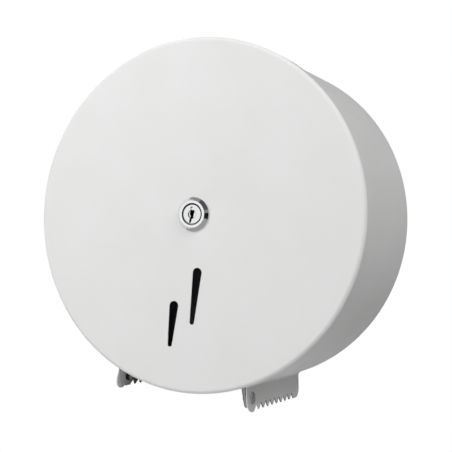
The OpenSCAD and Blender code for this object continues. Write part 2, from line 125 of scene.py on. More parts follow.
def rounded(corners: Sequence[Corner], steps: int = 4) -> list[Point2]:
    """Round the corners of a closed outline.

    Args:
        corners: x, y and rounding radius of each corner, in order.
        steps: Number of steps in each rounding.

    Returns:
        The outline's points.
    """
    points: list[Point2] = []
    for i, (x, y, radius) in enumerate(corners):
        here = Vector((x, y))
        back = (Vector(corners[i - 1][:2]) - here).normalized()
        ahead = (Vector(corners[(i + 1) % len(corners)][:2]) - here).normalized()
        half = back.angle(ahead) / 2
        if radius <= 0 or half > math.radians(89.5):
            points.append((x, y))
            continue
        reach = radius / math.tan(half)
        middle = here + (back + ahead).normalized() * radius / math.sin(half)
        first, last = here + back * reach - middle, here + ahead * reach - middle
        turn = first.angle_signed(last)
        for k in range(steps + 1):
            spoke = first.copy()
            spoke.rotate(Matrix.Rotation(-turn * k / steps, 2))
            points.append(tuple(middle + spoke))
    return points


def turn_profile(
    bm: BMesh,
    profile: Sequence[Point2],
    segments: int,
    place: Matrix = FACING_FRONT,
    closed: bool = True,
) -> None:
    """Add a turned form to a mesh.

    Args:
        bm: The mesh that it joins.
        profile: Radius and height of each point.
        segments: Number of steps round the axis.
        place: Where the form goes; it stands on +Z before that.
        closed: Whether the last point joins the first, as in a ring.
    """
    rings = []
    for radius, height in profile:
        if radius < WELD / MM:
            rings.append([bm.verts.new(place @ Vector((0, 0, height)) * MM)] * segments)
            continue
        turns = [2 * math.pi * i / segments for i in range(segments)]
        spots = [Vector((radius * math.cos(t), radius * math.sin(t), height)) for t in turns]
        rings.append([bm.verts.new(place @ spot * MM) for spot in spots])
    for lower, upper in zip(rings, rings[1:] + (rings[:1] if closed else [])):
        for i in range(segments):
            j = (i + 1) % segments
            corners = list(dict.fromkeys((lower[i], lower[j], upper[j], upper[i])))
            if len(corners) > 2:
                bm.faces.new(corners)


def loft(bm: BMesh, layers: Sequence[tuple[Sequence[Point2], float]], place: Matrix) -> None:
    """Add a solid that runs through several outlines with the same number of points.

    Args:
        bm: The mesh that it joins.
        layers: Each outline and its height.
        place: Where the solid goes; it stands on +Z before that.
    """
    rings = [
        [bm.verts.new(place @ Vector((x, y, height)) * MM) for x, y in outline]
        for outline, height in layers
    ]
    bm.faces.new(rings[0])
    bm.faces.new(list(reversed(rings[-1])))
    for lower, upper in zip(rings, rings[1:]):
        for i in range(len(lower)):
            j = (i + 1) % len(lower)
            bm.faces.new((lower[i], lower[j], upper[j], upper[i]))


def prism(bm: BMesh, outline: Sequence[Point2], low: float, high: float, place: Matrix) -> None:
    """Add a straight solid with the given outline between two heights."""
    loft(bm, [(outline, low), (outline, high)], place)


def as_object(bm: BMesh, name: str) -> Object:
    """Make an object of a mesh, welded and with its faces outwards.

    Args:
        bm: The mesh, which is freed.
        name: The object's name.

    Returns:
        The object, linked to the scene.
    """
    bmesh.ops.remove_doubles(bm, verts=bm.verts, dist=WELD)
    bmesh.ops.dissolve_degenerate(bm, edges=bm.edges, dist=WELD)
    bmesh.ops.recalc_face_normals(bm, faces=bm.faces)
    mesh = bpy.data.meshes.new(name)
    bm.to_mesh(mesh)
    bm.free()
    obj = bpy.data.objects.new(name, mesh)
    bpy.context.scene.collection.objects.link(obj)
    return obj


def settle(obj: Object) -> Object:
    """Turn what an object's modifiers make into its plain mesh.

    Args:
        obj: The object with its modifiers.

    Returns:
        The same object, without modifiers.
    """
    graph = bpy.context.evaluated_depsgraph_get()
    made = bpy.data.meshes.new_from_object(obj.evaluated_get(graph), depsgraph=graph)
    old, obj.data = obj.data, made
    obj.modifiers.clear()
    made.name = obj.name
    bpy.data.meshes.remove(old)
    return obj


def cut(obj: Object, tool: Object, keep: str = "DIFFERENCE") -> Object:
    """Cut a tool's form out of an object and drop the tool.

    Args:
        obj: What is cut.
        tool: What cuts it.
        keep: The kind of cut.

    Returns:
        The object that was cut.
    """
    modifier = obj.modifiers.new("cut", "BOOLEAN")
    modifier.object = tool
    modifier.operation = keep
    modifier.solver = "EXACT"
    settle(obj)
    bpy.data.objects.remove(tool)
    return obj


def join(obj: Object, other: Object) -> Object:
    """Add another object's mesh to an object and drop the other object.

    Args:
        obj: The object that grows.
        other: The object that is added and removed.

    Returns:
        The first object.
    """
    bm = bmesh.new()
    bm.from_mesh(obj.data)
    bm.from_mesh(other.data)
    bm.to_mesh(obj.data)
    bm.free()
    bpy.data.objects.remove(other)
    return obj


def soften(obj: Object, width: float, steps: int = 2, above: float = 40.0) -> Object:
    """Round an object's sharp edges.

    Args:
        obj: The object.
        width: Width of the rounding.
        steps: Number of steps in the rounding.
        above: Least angle between two faces that counts as sharp, in degrees.

    Returns:
        The same object.
    """
    bm = bmesh.new()
    bm.from_mesh(obj.data)
    bmesh.ops.remove_doubles(bm, verts=bm.verts, dist=WELD)
    bmesh.ops.dissolve_limit(
        bm, angle_limit=math.radians(0.4), verts=bm.verts, edges=bm.edges, delimit=set()
    )
    limit = math.radians(above)
    sharp = [e for e in bm.edges if len(e.link_faces) == 2 and e.calc_face_angle(0) > limit]
    bmesh.ops.bevel(
        bm, geom=sharp, offset=width * MM, segments=steps, profile=0.5,
        affect="EDGES", offset_type="OFFSET", clamp_overlap=True,
    )
    bm.to_mesh(obj.data)
    bm.free()
    return obj


def shade(obj: Object) -> Object:
    """Shade an object smoothly, with flat faces kept flat up to their edges.

    Args:
        obj: The object.

    Returns:
        The same object.
    """
    obj.data.shade_smooth()
    obj.data.set_sharp_from_angle(angle=math.radians(SHARP_DEG))
    modifier = obj.modifiers.new("flat faces lead", "WEIGHTED_NORMAL")
    modifier.keep_sharp = True
    modifier.weight = 80
    return settle(obj)


def dress(obj: Object, finish: "Finish", body: Body, stands_for: Iterable[str]) -> Object:
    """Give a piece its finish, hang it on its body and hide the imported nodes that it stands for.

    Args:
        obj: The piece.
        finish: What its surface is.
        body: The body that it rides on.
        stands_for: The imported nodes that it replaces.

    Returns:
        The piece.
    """
    obj.data.materials.clear()
    obj.data.materials.append(finish.material())
    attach(obj, body.value)
    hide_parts(*stands_for)
    log.info("%s: %d faces, rides on %s", obj.name, len(obj.data.polygons), body.value)
    return obj


# ---------------------------------------------------------------- node trees


class NodeWriter:
    """A node tree that is being written."""

    def __init__(self, tree: bpy.types.NodeTree) -> None:
        """Take the tree that the nodes go into."""
        self.tree = tree

    def put(self, entry: Socket, value: object) -> None:
        """Link an input, or give it a plain value.

        Args:
            entry: The input.
            value: A socket or a plain value.
        """
        if isinstance(value, Socket):
            self.tree.links.new(value, entry)
        else:
            entry.default_value = value

    def add(self, kind: str, inputs: dict | None = None, **settings: object) -> bpy.types.Node:
        """Add a node.

        Args:
            kind: The node's type.
            inputs: Its inputs by name or place, each a socket or a plain value.
            settings: Its other settings.

        Returns:
            The node.
        """
        node = self.tree.nodes.new(kind)
        for name, value in settings.items():
            setattr(node, name, value)
        for name, value in (inputs or {}).items():
            self.put(node.inputs[name], value)
        return node

    def maths(self, operation: str, *values: object) -> Socket:
        """Add a Math node and return its result."""
        return self.add("ShaderNodeMath", dict(enumerate(values)), operation=operation).outputs[0]

    def ramp(
        self,
        value: Socket,
        start: float,
        end: float,
        low: float = 0.0,
        high: float = 1.0,
        **settings: object,
    ) -> Socket:
        """Map the range from `start` to `end` to the one from `low` to `high`, and clamp it."""
        ends = {"From Min": start, "From Max": end, "To Min": low, "To Max": high}
        return self.add("ShaderNodeMapRange", {"Value": value, **ends}, **settings).outputs[0]


class PatternTree(NodeWriter):
    """A Geometry Nodes tree with named inputs for its sizes."""

    def __init__(self, name: str) -> None:
        """Start a tree with one geometry input and one geometry output.

        Args:
            name: The tree's name.
        """
        super().__init__(bpy.data.node_groups.new(name, "GeometryNodeTree"))
        kind = "NodeSocketGeometry"
        for in_out in ("INPUT", "OUTPUT"):
            self.tree.interface.new_socket("Geometry", in_out=in_out, socket_type=kind)
        self.entry = self.tree.nodes.new("NodeGroupInput")

    def size(self, name: str, kind: str = "NodeSocketFloat") -> Socket:
        """Add a named input and return the socket that carries it."""
        self.tree.interface.new_socket(name, in_out="INPUT", socket_type=kind)
        return self.entry.outputs[name]

    def finish(self, geometry: Socket, material: Material) -> None:
        """End the tree in Realize Instances and Set Material.

        Args:
            geometry: What the tree has made.
            material: Its material.
        """
        real = self.add("GeometryNodeRealizeInstances", {"Geometry": geometry})
        dressed = {"Geometry": real.outputs[0], "Material": material}
        painted = self.add("GeometryNodeSetMaterial", dressed)
        self.tree.links.new(painted.outputs[0], self.tree.nodes.new("NodeGroupOutput").inputs[0])

    def apply(self, obj: Object, sizes: dict[str, object]) -> Object:
        """Run the tree on an object and keep the result as its plain mesh.

        Args:
            obj: The object whose mesh enters the tree.
            sizes: A value for each named input.

        Returns:
            The same object.
        """
        modifier = obj.modifiers.new(self.tree.name, "NODES")
        modifier.node_group = self.tree
        for item in self.tree.interface.items_tree:
            if item.item_type == "SOCKET" and item.in_out == "INPUT" and item.name in sizes:
                modifier[item.identifier] = sizes[item.name]
        obj.update_tag()
        return settle(obj)


def repeat_round_axis(obj: Object, count: int, first_angle: float, material: Material) -> Object:
    """Repeat an object's mesh at even steps round the drum's axis.

    Args:
        obj: One of the repeated forms, at angle 0.
        count: How many there are.
        first_angle: Angle of the first one, in degrees.
        material: Their material.

    Returns:
        The same object, with all the copies.
    """
    tree = PatternTree("repeat_round_axis")
    number = tree.size("Count", "NodeSocketInt")
    first = tree.size("First angle")
    index = tree.add("GeometryNodeInputIndex").outputs[0]
    step = tree.maths("DIVIDE", 2 * math.pi, number)
    angle = tree.maths("ADD", first, tree.maths("MULTIPLY", index, step))
    spin = tree.add("ShaderNodeCombineXYZ", {"Y": tree.maths("MULTIPLY", angle, -1.0)}).outputs[0]
    points = tree.add("GeometryNodePoints", {"Count": number}).outputs[0]
    copies = tree.add(
        "GeometryNodeInstanceOnPoints",
        {"Points": points, "Instance": tree.entry.outputs["Geometry"], "Rotation": spin},
    )
    tree.finish(copies.outputs[0], material)
    return tree.apply(obj, {"Count": count, "First angle": math.radians(first_angle)})


def repeat_in_row(obj: Object, count: int, step: Vector, material: Material) -> Object:
    """Repeat an object's mesh at even steps along a straight line.

    Args:
        obj: The first of the repeated forms.
        count: How many there are.
        step: The way from one to the next, in millimetres.
        material: Their material.

    Returns:
        The same object, with all the copies.
    """
    tree = PatternTree("repeat_in_row")
    number = tree.size("Count", "NodeSocketInt")
    stride = tree.size("Step", "NodeSocketVector")
    row = tree.add("GeometryNodeMeshLine", {"Count": number, "Offset": stride}, mode="OFFSET")
    copies = tree.add(
        "GeometryNodeInstanceOnPoints",
        {"Points": row.outputs[0], "Instance": tree.entry.outputs["Geometry"]},
    )
    tree.finish(copies.outputs[0], material)
    return tree.apply(obj, {"Count": count, "Step": tuple(step * MM)})


def screw_thread(
    name: str, radius: float, pitch: float, length: float, depth: float, material: Material
) -> Object:
    """Make the ridge of a screw thread, standing on +Z round the origin.

    Args:
        name: The object's name.
        radius: Radius at the ridge's crest.
        pitch: Rise of one turn.
        length: Length of the thread.
        depth: Depth of the thread.
        material: Its material.

    Returns:
        The ridge, closed at both ends.
    """
    tree = PatternTree("screw_thread")
    crest, rise = tree.size("Crest radius"), tree.size("Pitch")
    span, deep = tree.size("Length"), tree.size("Depth")
    core = tree.maths("SUBTRACT", crest, tree.maths("DIVIDE", deep, 2.0))
    path = tree.add(
        "GeometryNodeCurveSpiral",
        {"Resolution": 40, "Rotations": tree.maths("DIVIDE", span, rise), "Start Radius": core,
         "End Radius": core, "Height": span},
    )
    corners = {"Resolution": 4, "Radius": deep}
    ridge = tree.add("GeometryNodeCurvePrimitiveCircle", corners, mode="RADIUS")
    swept = tree.add(
        "GeometryNodeCurveToMesh",
        {"Curve": path.outputs[0], "Profile Curve": ridge.outputs[0], "Fill Caps": True},
    )
    tree.finish(swept.outputs[0], material)
    obj = bpy.data.objects.new(name, bpy.data.meshes.new(name))
    bpy.context.scene.collection.objects.link(obj)
    sizes = {"Crest radius": radius, "Pitch": pitch, "Length": length, "Depth": depth}
    return tree.apply(obj, {size: value * MM for size, value in sizes.items()})


# ---------------------------------------------------------------- finishes


class Graph(NodeWriter):
    """The nodes of one material, laid round its Principled shader."""

    def __init__(self, name: str) -> None:
        """Start a material with its Principled shader and Object coordinates.

        Args:
            name: The material's name.
        """
        self.material = bpy.data.materials.new(name)
        self.material.use_nodes = True
        super().__init__(self.material.node_tree)
        self.shader = self.tree.nodes["Principled BSDF"]
        self.surface = self.tree.nodes["Material Output"].inputs["Surface"]
        source = self.add("ShaderNodeTexCoord")
        self.place = source.outputs["Object"]
        self.facing = source.outputs["Normal"]

    def feed(self, name: str, value: object) -> None:
        """Set or link one of the shader's inputs."""
        self.put(self.shader.inputs[name], value)

    def noise(self, size: float, detail: float = 2.0, stretch: Point2 | None = None) -> Socket:
        """Add noise in the piece's own space.

        Args:
            size: Width of its grain in millimetres.
            detail: How many finer layers it has.
            stretch: Factors for the grain's width along X and Z, where it is drawn out.

        Returns:
            The noise, about 0.5 on average.
        """
        place = self.place
        if stretch:
            scale = (1 / stretch[0], 1.0, 1 / stretch[1])
            place = self.add("ShaderNodeMapping", {"Vector": place, "Scale": scale}).outputs[0]
        grain = {"Vector": place, "Scale": 1 / (size * MM), "Detail": detail}
        return self.add("ShaderNodeTexNoise", grain).outputs["Fac"]

    def between(self, noise: Socket, low: float, high: float) -> Socket:
        """Map a noise's middle range to a range of values."""
        return self.ramp(noise, *NOISE_MIDDLE, low, high)

    def tint(self, share: Socket, first: object, second: object) -> Socket:
        """Mix two colours, either of which may come from another node.

        Args:
            share: The second colour's share.
            first: The first colour.
            second: The second colour.

        Returns:
            The mixed colour.
        """
        ends = [end if isinstance(end, Socket) else (*end, 1.0) for end in (first, second)]
        inputs = {"Factor": share, 6: ends[0], 7: ends[1]}
        return self.add("ShaderNodeMix", inputs, data_type="RGBA").outputs[2]

    def along(self, vector: Socket, axis: int) -> Socket:
        """Take one part of a vector: 0 for X, 1 for Y and 2 for Z."""
        return self.add("ShaderNodeSeparateXYZ", {"Vector": vector}).outputs[axis]

    def all_of(self, *shares: Socket) -> Socket:
        """Multiply shares, so that the result is 1 only where each of them is."""
        return reduce(partial(self.maths, "MULTIPLY"), shares)

    def square_of_reach(self, axis: int) -> Socket:
        """Square the distance from the origin along X and one more axis: 1 for Y or 2 for Z."""
        parts = [self.along(self.place, i) for i in (0, axis)]
        return self.maths("ADD", *(self.maths("MULTIPLY", part, part) for part in parts))

    def near_axis(self, radius: float) -> Socket:
        """Tell where the surface lies within a radius of the drum's axis."""
        return self.maths("LESS_THAN", self.square_of_reach(2), (radius * MM) ** 2)

    def behind(self, out: float) -> Socket:
        """Tell where the surface is less than a distance out from the wall."""
        return self.maths("GREATER_THAN", self.along(self.place, 1), -out * MM)

    def before(self, out: float) -> Socket:
        """Tell where the surface is more than a distance out from the wall."""
        return self.maths("LESS_THAN", self.along(self.place, 1), -out * MM)

    def below(self, height: float) -> Socket:
        """Tell where the surface is lower than a height."""
        return self.maths("LESS_THAN", self.along(self.place, 2), height * MM)

    def edge_on(self, most: float) -> Socket:
        """Tell where the surface faces left or right by less than a share."""
        return self.maths("LESS_THAN", self.maths("ABSOLUTE", self.along(self.facing, 0)), most)

    def bump(self, height: Socket, depth: float) -> None:
        """Raise the surface by a height, on top of what already raises it.

        Args:
            height: The height.
            depth: Its depth in millimetres.
        """
        node = self.add("ShaderNodeBump", {"Height": height, "Distance": depth * MM})
        earlier = self.shader.inputs["Normal"].links
        if earlier:
            self.put(node.inputs["Normal"], earlier[0].from_socket)
        self.feed("Normal", node.outputs[0])


_made: dict["Finish", Material] = {}


@dataclass(frozen=True)
class Finish:
    """A surface: its name, the record's slot and its colour."""

    name: str
    slot: Slot
    colour: Corner

    def material(self) -> Material:
        """Return the finish's material, made once.

        Returns:
            The material.
        """
        if self not in _made:
            _made[self] = self.build()
        return _made[self]

    def build(self) -> Material:
        """Make the material."""
        raise NotImplementedError


@dataclass(frozen=True)
class PowderCoat(Finish):
    """Baked powder paint with its faint orange peel, and dark painted shade inside and low down.

    Radii, heights and distances out from the wall are in millimetres. Painted shade, near black,
    lies within `inside_r` and behind `inside_out`, apart from the first `rear_out` at the wall,
    and a little further up the walls of openings that are `rim_w` or more in from `inside_r`.
    Below `edge_shade_z` and behind `edge_shade_out` the cut edges are painted dark as shade.
    Below `inner_shade_z` inner faces are painted dark as shade, fading between the two
    distances of `inner_shade_out`.
    """

    inside_r: float = 0.0
    inside_out: float = 0.0
    rear_out: float = 0.5
    rim_w: float = 40.0
    opening_wall: float = 0.65
    edge_shade_z: float = 0.0
    edge_shade_out: float = 0.0
    edge_facing: float = 0.6
    inner_shade_z: float = 0.0
    inner_shade_out: Point2 = (0.0, 0.0)
    inner_x: float = 20.0
    gloss: float = 0.36
    gloss_range: float = 0.07
    peel: float = 1.3
    peel_depth: float = 0.012
    worn: Corner = (0.975, 0.972, 0.965)
    inside_shade: Corner = (0.075, 0.076, 0.08)
    inner_shade: Corner = (0.03, 0.03, 0.032)
    edge_shade: Corner = (0.1, 0.1, 0.105)

    def build(self) -> Material:
        """Make the paint's material.

        Returns:
            The material.
        """
        graph = Graph(self.name)
        flow = graph.between(graph.noise(self.peel * 34, 3.0), 0.0, 1.0)
        worn = tuple(part * share for part, share in zip(self.colour, self.worn))
        colour = graph.tint(flow, self.colour, worn)
        # Painted shade: cut edges low down and towards the wall are darkened.
        if self.edge_shade_z:
            low, rear = graph.below(self.edge_shade_z), graph.behind(self.edge_shade_out)
            edge_shade_share = graph.all_of(graph.edge_on(self.edge_facing), low, rear)
            colour = graph.tint(edge_shade_share, colour, self.edge_shade)
        # Painted shade: inner faces low down are painted near black, more strongly towards the
        # wall.
        if self.inner_shade_z:
            x_facing, x = graph.along(graph.facing, 0), graph.along(graph.place, 0)
            inward = graph.maths("MULTIPLY", x_facing, x)
            inner = graph.maths("LESS_THAN", inward, -self.inner_x * MM)
            fade = graph.ramp(graph.along(graph.place, 1), *(-out * MM for out in self.inner_shade_out))
            thin = graph.all_of(inner, graph.below(self.inner_shade_z), fade)
            colour = graph.tint(thin, colour, self.inner_shade)
        # Painted shade: the inside of the drum and lid, and the walls of openings, are painted near
        # black.
        if self.inside_r:
            shell = graph.all_of(graph.near_axis(self.inside_r), graph.behind(self.inside_out))
            middle = graph.near_axis(self.inside_r - self.rim_w)
            openings = graph.all_of(middle, graph.behind(self.inside_out + self.opening_wall))
            both = graph.maths("MAXIMUM", shell, openings)
            inside = graph.all_of(both, graph.before(self.rear_out))
            colour = graph.tint(inside, colour, self.inside_shade)
        graph.feed("Base Color", colour)
        mottle = graph.noise(self.peel * 11, 4.0)
        graph.feed("Roughness", graph.between(mottle, self.gloss, self.gloss + self.gloss_range))
        graph.bump(graph.noise(self.peel * 3.1, 1.0), self.peel_depth)
        graph.bump(graph.noise(self.peel, 2.0), self.peel_depth * 0.6)
        return graph.material


@dataclass(frozen=True)
class ChromePlate(Finish):
    """Bright plating over a casting, with fine rubbing marks.

    Within `well_r` and behind `well_out`, in millimetres, painted shade makes the plating nearly
    black, `well_shade`, and a painted reflection lightens it to `well_painted_light` towards the
    lower left, from `light_from` to `light_to`. `lathe` is the spacing of the turning marks.
    """

    well_r: float = 0.0
    well_out: float = 0.0
    well_shade: float = 0.02
    well_painted_light: float = 0.02
    well_rough: float = 0.4
    light_from: float = 1.0
    light_to: float = -6.0
    lathe: float = 0.0

    def build(self) -> Material:
        """Make the plating's material.

        Returns:
            The material.
        """
        graph = Graph(self.name)
        graph.feed("Metallic", 1.0)
        # Painted shade: the well is nearly black, with a painted reflection lightening it towards
        # the lower left.
        well = graph.all_of(graph.near_axis(self.well_r), graph.behind(self.well_out))
        across = graph.maths("ADD", graph.along(graph.place, 0), graph.along(graph.place, 2))
        painted_reflection_share = graph.ramp(across, self.light_from * MM, self.light_to * MM)
        grey = graph.tint(painted_reflection_share, (self.well_shade,) * 3, (self.well_painted_light,) * 3)
        graph.feed("Base Color", graph.tint(well, self.colour, grey))
        rough = graph.between(graph.noise(0.9, 4.0, stretch=(9.0, 1.0)), 0.05, 0.1)
        extra = graph.maths("MULTIPLY", well, self.well_rough)
        graph.feed("Roughness", graph.maths("ADD", rough, extra))
        if self.lathe:
            scale = WAVE_SPACING / (self.lathe * MM)
            marks = {"Vector": graph.place, "Scale": scale, "Distortion": 0.6, "Detail": 1.0}
            rings = graph.add("ShaderNodeTexWave", marks, wave_type="RINGS", rings_direction="Y")
            graph.bump(rings.outputs["Fac"], 0.004)
        graph.bump(graph.noise(2.6, 2.0), 0.01)
        return graph.material


@dataclass(frozen=True)
class ZincPlate(Finish):
    """Clear zinc plating on turned and pressed steel.

    Flanks less than `shade_within_x` millimetres from the middle of the drum are painted black as
    shade.
    """

    rough: float = 0.3
    metal: float = 1.0
    shade_within_x: float = 0.0
    flank_facing: float = 0.88
    flank_shade: Corner = (0.01, 0.01, 0.01)

    def build(self) -> Material:
        """Make the plating's material.

        Returns:
            The material.
        """
        graph = Graph(self.name)
        cells = graph.add("ShaderNodeTexVoronoi", {"Vector": graph.place, "Scale": 1 / (2.4 * MM)})
        grain = graph.add("ShaderNodeSeparateColor", {"Color": cells.outputs["Color"]}).outputs[0]
        dull = tuple(part * 0.86 for part in self.colour)
        colour = graph.tint(grain, self.colour, dull)
        # Painted shade: flanks near the middle of the drum, such as the hinge rivets' tails, are
        # painted black.
        if self.shade_within_x:
            off_middle = graph.maths("ABSOLUTE", graph.along(graph.place, 0))
            near = graph.maths("LESS_THAN", off_middle, self.shade_within_x * MM)
            flank = graph.all_of(near, graph.edge_on(self.flank_facing))
            colour = graph.tint(flank, colour, self.flank_shade)
        graph.feed("Base Color", colour)
        graph.feed("Metallic", self.metal)
        graph.feed("Roughness", graph.between(graph.noise(3.0, 5.0), self.rough, self.rough + 0.14))
        graph.bump(graph.noise(0.35, 3.0), 0.006)
        return graph.material


@dataclass(frozen=True)
class MouldedPlastic(Finish):
    """Moulded plastic with a fine spark grain."""

    rough: float = 0.42
    grain: float = 0.45

    def build(self) -> Material:
        """Make the plastic's material.

        Returns:
            The material.
        """
        graph = Graph(self.name)
        flow = graph.between(graph.noise(22.0, 2.0, stretch=(1.0, 2.5)), 0.0, 1.0)
        light = tuple(min(part * 1.04, 1.0) for part in self.colour)
        graph.feed("Base Color", graph.tint(flow, self.colour, light))
        graph.feed("Roughness", graph.between(graph.noise(5.0, 3.0), self.rough, self.rough + 0.1))
        graph.bump(graph.noise(self.grain, 2.0), 0.012)
        return graph.material


PAINT_WHITE = (0.83, 0.832, 0.828)
# The ears' cut edges and inner faces get dark painted shade.
EAR_PAINT = PowderCoat(
    "ear powder coat", Slot.PAINT, PAINT_WHITE, edge_shade_z=-100.0, edge_shade_out=120.0,
    edge_shade=(0.24, 0.24, 0.245), inner_shade_z=-100.0, inner_shade_out=(114.0, 88.0),
)
# The lid's inside and the walls of its openings get near-black painted shade.
LID_PAINT = PowderCoat(
    "lid powder coat", Slot.PAINT, PAINT_WHITE, inside_r=134.05, inside_out=121.05
)
# The drum's inside gets near-black painted shade; the tear plates' cut edges and inner faces get
# dark painted shade.
DRUM_PAINT = PowderCoat(
    "drum powder coat", Slot.PAINT, PAINT_WHITE, inside_r=132.5, inside_out=130.0,
    edge_shade_z=-135.2, edge_shade_out=90.0, inner_shade_z=-121.0, inner_shade_out=(108.0, 86.0),
)
# The lock body's well gets painted shade, with a painted reflection towards the lower left.
LOCK_PLATING = ChromePlate(
    "chromed lock body", Slot.CHROME, (0.83, 0.84, 0.855),
    well_r=8.34, well_out=124.7, well_painted_light=0.42,
)
# The plug's keyway and groove walls get dark painted shade.
PLUG_PLATING = ChromePlate(
    "plated lock plug", Slot.CHROME, (0.80, 0.805, 0.81), well_r=6.9, well_out=123.9, lathe=0.22
)
BRIGHT_ZINC = ZincPlate("bright zinc", Slot.ZINC, (0.62, 0.63, 0.65))
# Rivet flanks near the middle of the drum get black painted shade.
RIVET_ALLOY = ZincPlate(
    "rivet alloy", Slot.ZINC, (0.36, 0.36, 0.365), rough=0.4, metal=0.55, shade_within_x=52.0
)
HUB_PLASTIC = MouldedPlastic("grey hub plastic", Slot.HUB, (0.46, 0.475, 0.49))
NYLON = MouldedPlastic("natural nylon", Slot.NYLON, (0.80, 0.785, 0.73), rough=0.36)


# ---------------------------------------------------------------- the drum


@dataclass
class Lid:
    """The drawn lid: a flat disc, a rolled edge and a rim that is cut away for the paper."""

    radius: float = 135.0
    face: float = 122.0
    sheet: float = 1.0
    roll_r: float = 3.0
    rim_rear: float = 106.0
    cut_rear: float = 118.0
    cut_half_w: float = 60.5
    cut_corner: float = 2.0
    edge_soft: float = 0.3
    disc_rings: Corner = (112.0, 70.0, 24.0)
    slot_x: float = 8.2
    slot_wide_r: float = 3.65
    slot_narrow_r: float = 1.8
    upper_slot: Point2 = (43.4, 37.6)
    lower_slot: Point2 = (70.6, 29.4)
    barrel_r: float = 9.1
    barrel_half_flat: float = 8.1

    def rear_edge(self) -> list[Point2]:
        """Trace the rim's rear edge.

        Returns:
            Angle from the bottom, in degrees, and distance from the wall of each point.
        """
        middle_r = self.radius - self.sheet / 2
        half = middle_r * math.asin(self.cut_half_w / middle_r)
        whole = math.pi * middle_r
        corner = self.cut_corner
        behind = self.rim_rear - 9
        path = rounded(
            [(-half, self.cut_rear, corner), (half, self.cut_rear, corner),
             (half, self.rim_rear, corner), (whole, self.rim_rear, 0.0), (whole, behind, 0.0),
             (-whole, behind, 0.0), (-whole, self.rim_rear, 0.0), (-half, self.rim_rear, corner)],
            steps=5,
        )
        path = [p for p in path if p[1] > behind + 1]
        start = next(i for i, p in enumerate(path) if p[0] <= -whole + 0.01)
        path = path[start:] + path[:start]
        dense: list[Point2] = []
        for (s0, d0), (s1, d1) in zip(path, path[1:]):
            steps = max(1, round(abs(s1 - s0) / (2 * whole / BIG_ROUND)))
            shares = [k / steps for k in range(steps)]
            dense += [(s0 + (s1 - s0) * share, d0 + (d1 - d0) * share) for share in shares]
        return [(math.degrees(s / middle_r), d) for s, d in dense]

    def shell(self) -> Object:
        """Build the lid's drawn shell with its rim.

        Returns:
            The shell, without its openings.
        """
        soft = self.edge_soft
        outer_r, inner_r = self.radius, self.radius - self.sheet
        roll = (self.radius - self.roll_r, self.face - self.roll_r)
        front = arc(roll, self.roll_r, 90, 0, 8)
        inside = arc(roll, self.roll_r - self.sheet, 0, 90, 8)
        bm = bmesh.new()
        columns = []
        for angle, rear in self.rear_edge():
            edge = arc((outer_r - soft, rear + soft), soft, 0, -90, 3)
            edge += arc((inner_r + soft, rear + soft), soft, -90, -180, 3)
            profile = [(r, self.face) for r in reversed(self.disc_rings)] + front + edge + inside
            profile += [(r, self.face - self.sheet) for r in self.disc_rings]
            turn = math.radians(angle - 90)
            across, up = math.cos(turn) * MM, math.sin(turn) * MM
            columns.append([bm.verts.new((r * across, -d * MM, r * up)) for r, d in profile])
        for column, following in zip(columns, columns[1:] + columns[:1]):
            for i in range(len(column) - 1):
                corners = (column[i], column[i + 1], following[i + 1], following[i])
                bm.faces.new(corners)
        bm.faces.new([column[0] for column in columns])
        bm.faces.new([column[-1] for column in reversed(columns)])
        return as_object(bm, "lid_skin")

    def slot_outline(self, at: Point2, length: float, grow: float) -> list[Point2]:
        """Outline of a sight slot: round ends of two sizes and straight sides.

        Args:
            at: Centre of the wide upper end.
            length: Length between the end centres.
            grow: How much larger the outline is all round.

        Returns:
            The outline's points.
        """
        lean = math.degrees(math.asin((self.slot_wide_r - self.slot_narrow_r) / length))
        top = arc(at, self.slot_wide_r + grow, -lean, 180 + lean, 28)
        bottom = arc((at[0], at[1] - length), self.slot_narrow_r + grow, 180 + lean, 360 - lean, 20)
        return top + bottom

    def slot_tool(self) -> Object:
        """Build the tool that cuts the sight slots, with softened edges, and the lock's hole.

        Returns:
            The tool.
        """
        soft = self.edge_soft
        back = self.face - self.sheet
        steps = [(soft, back - 1)]
        steps += [(d, back + h) for d, h in arc((soft, soft), soft, 270, 180, 3)]
        steps += [(d, self.face - 2 * soft + h) for d, h in arc((soft, soft), soft, 180, 90, 3)]
        steps += [(soft, self.face + 1)]
        bm = bmesh.new()
        for x, (drop, length) in ((self.slot_x, self.upper_slot), (-self.slot_x, self.lower_slot)):
            top = (x, -drop)
            layers = [(self.slot_outline(top, length, grow), height) for grow, height in steps]
            loft(bm, layers, FACING_FRONT)
        half, r = self.barrel_half_flat, self.barrel_r
        side = math.degrees(math.acos(half / r))
        hole = arc((0, 0), r, side, 180 - side, 20) + arc((0, 0), r, 180 + side, 360 - side, 20)
        prism(bm, hole, back - 1, self.face + 1, FACING_FRONT)
        return as_object(bm, "slot_tool")

    def build(self) -> None:
        """Build and dress the lid."""
        skin = shade(cut(self.shell(), self.slot_tool()))
        dress(skin, LID_PAINT, Body.LID, ["lid_shell"])


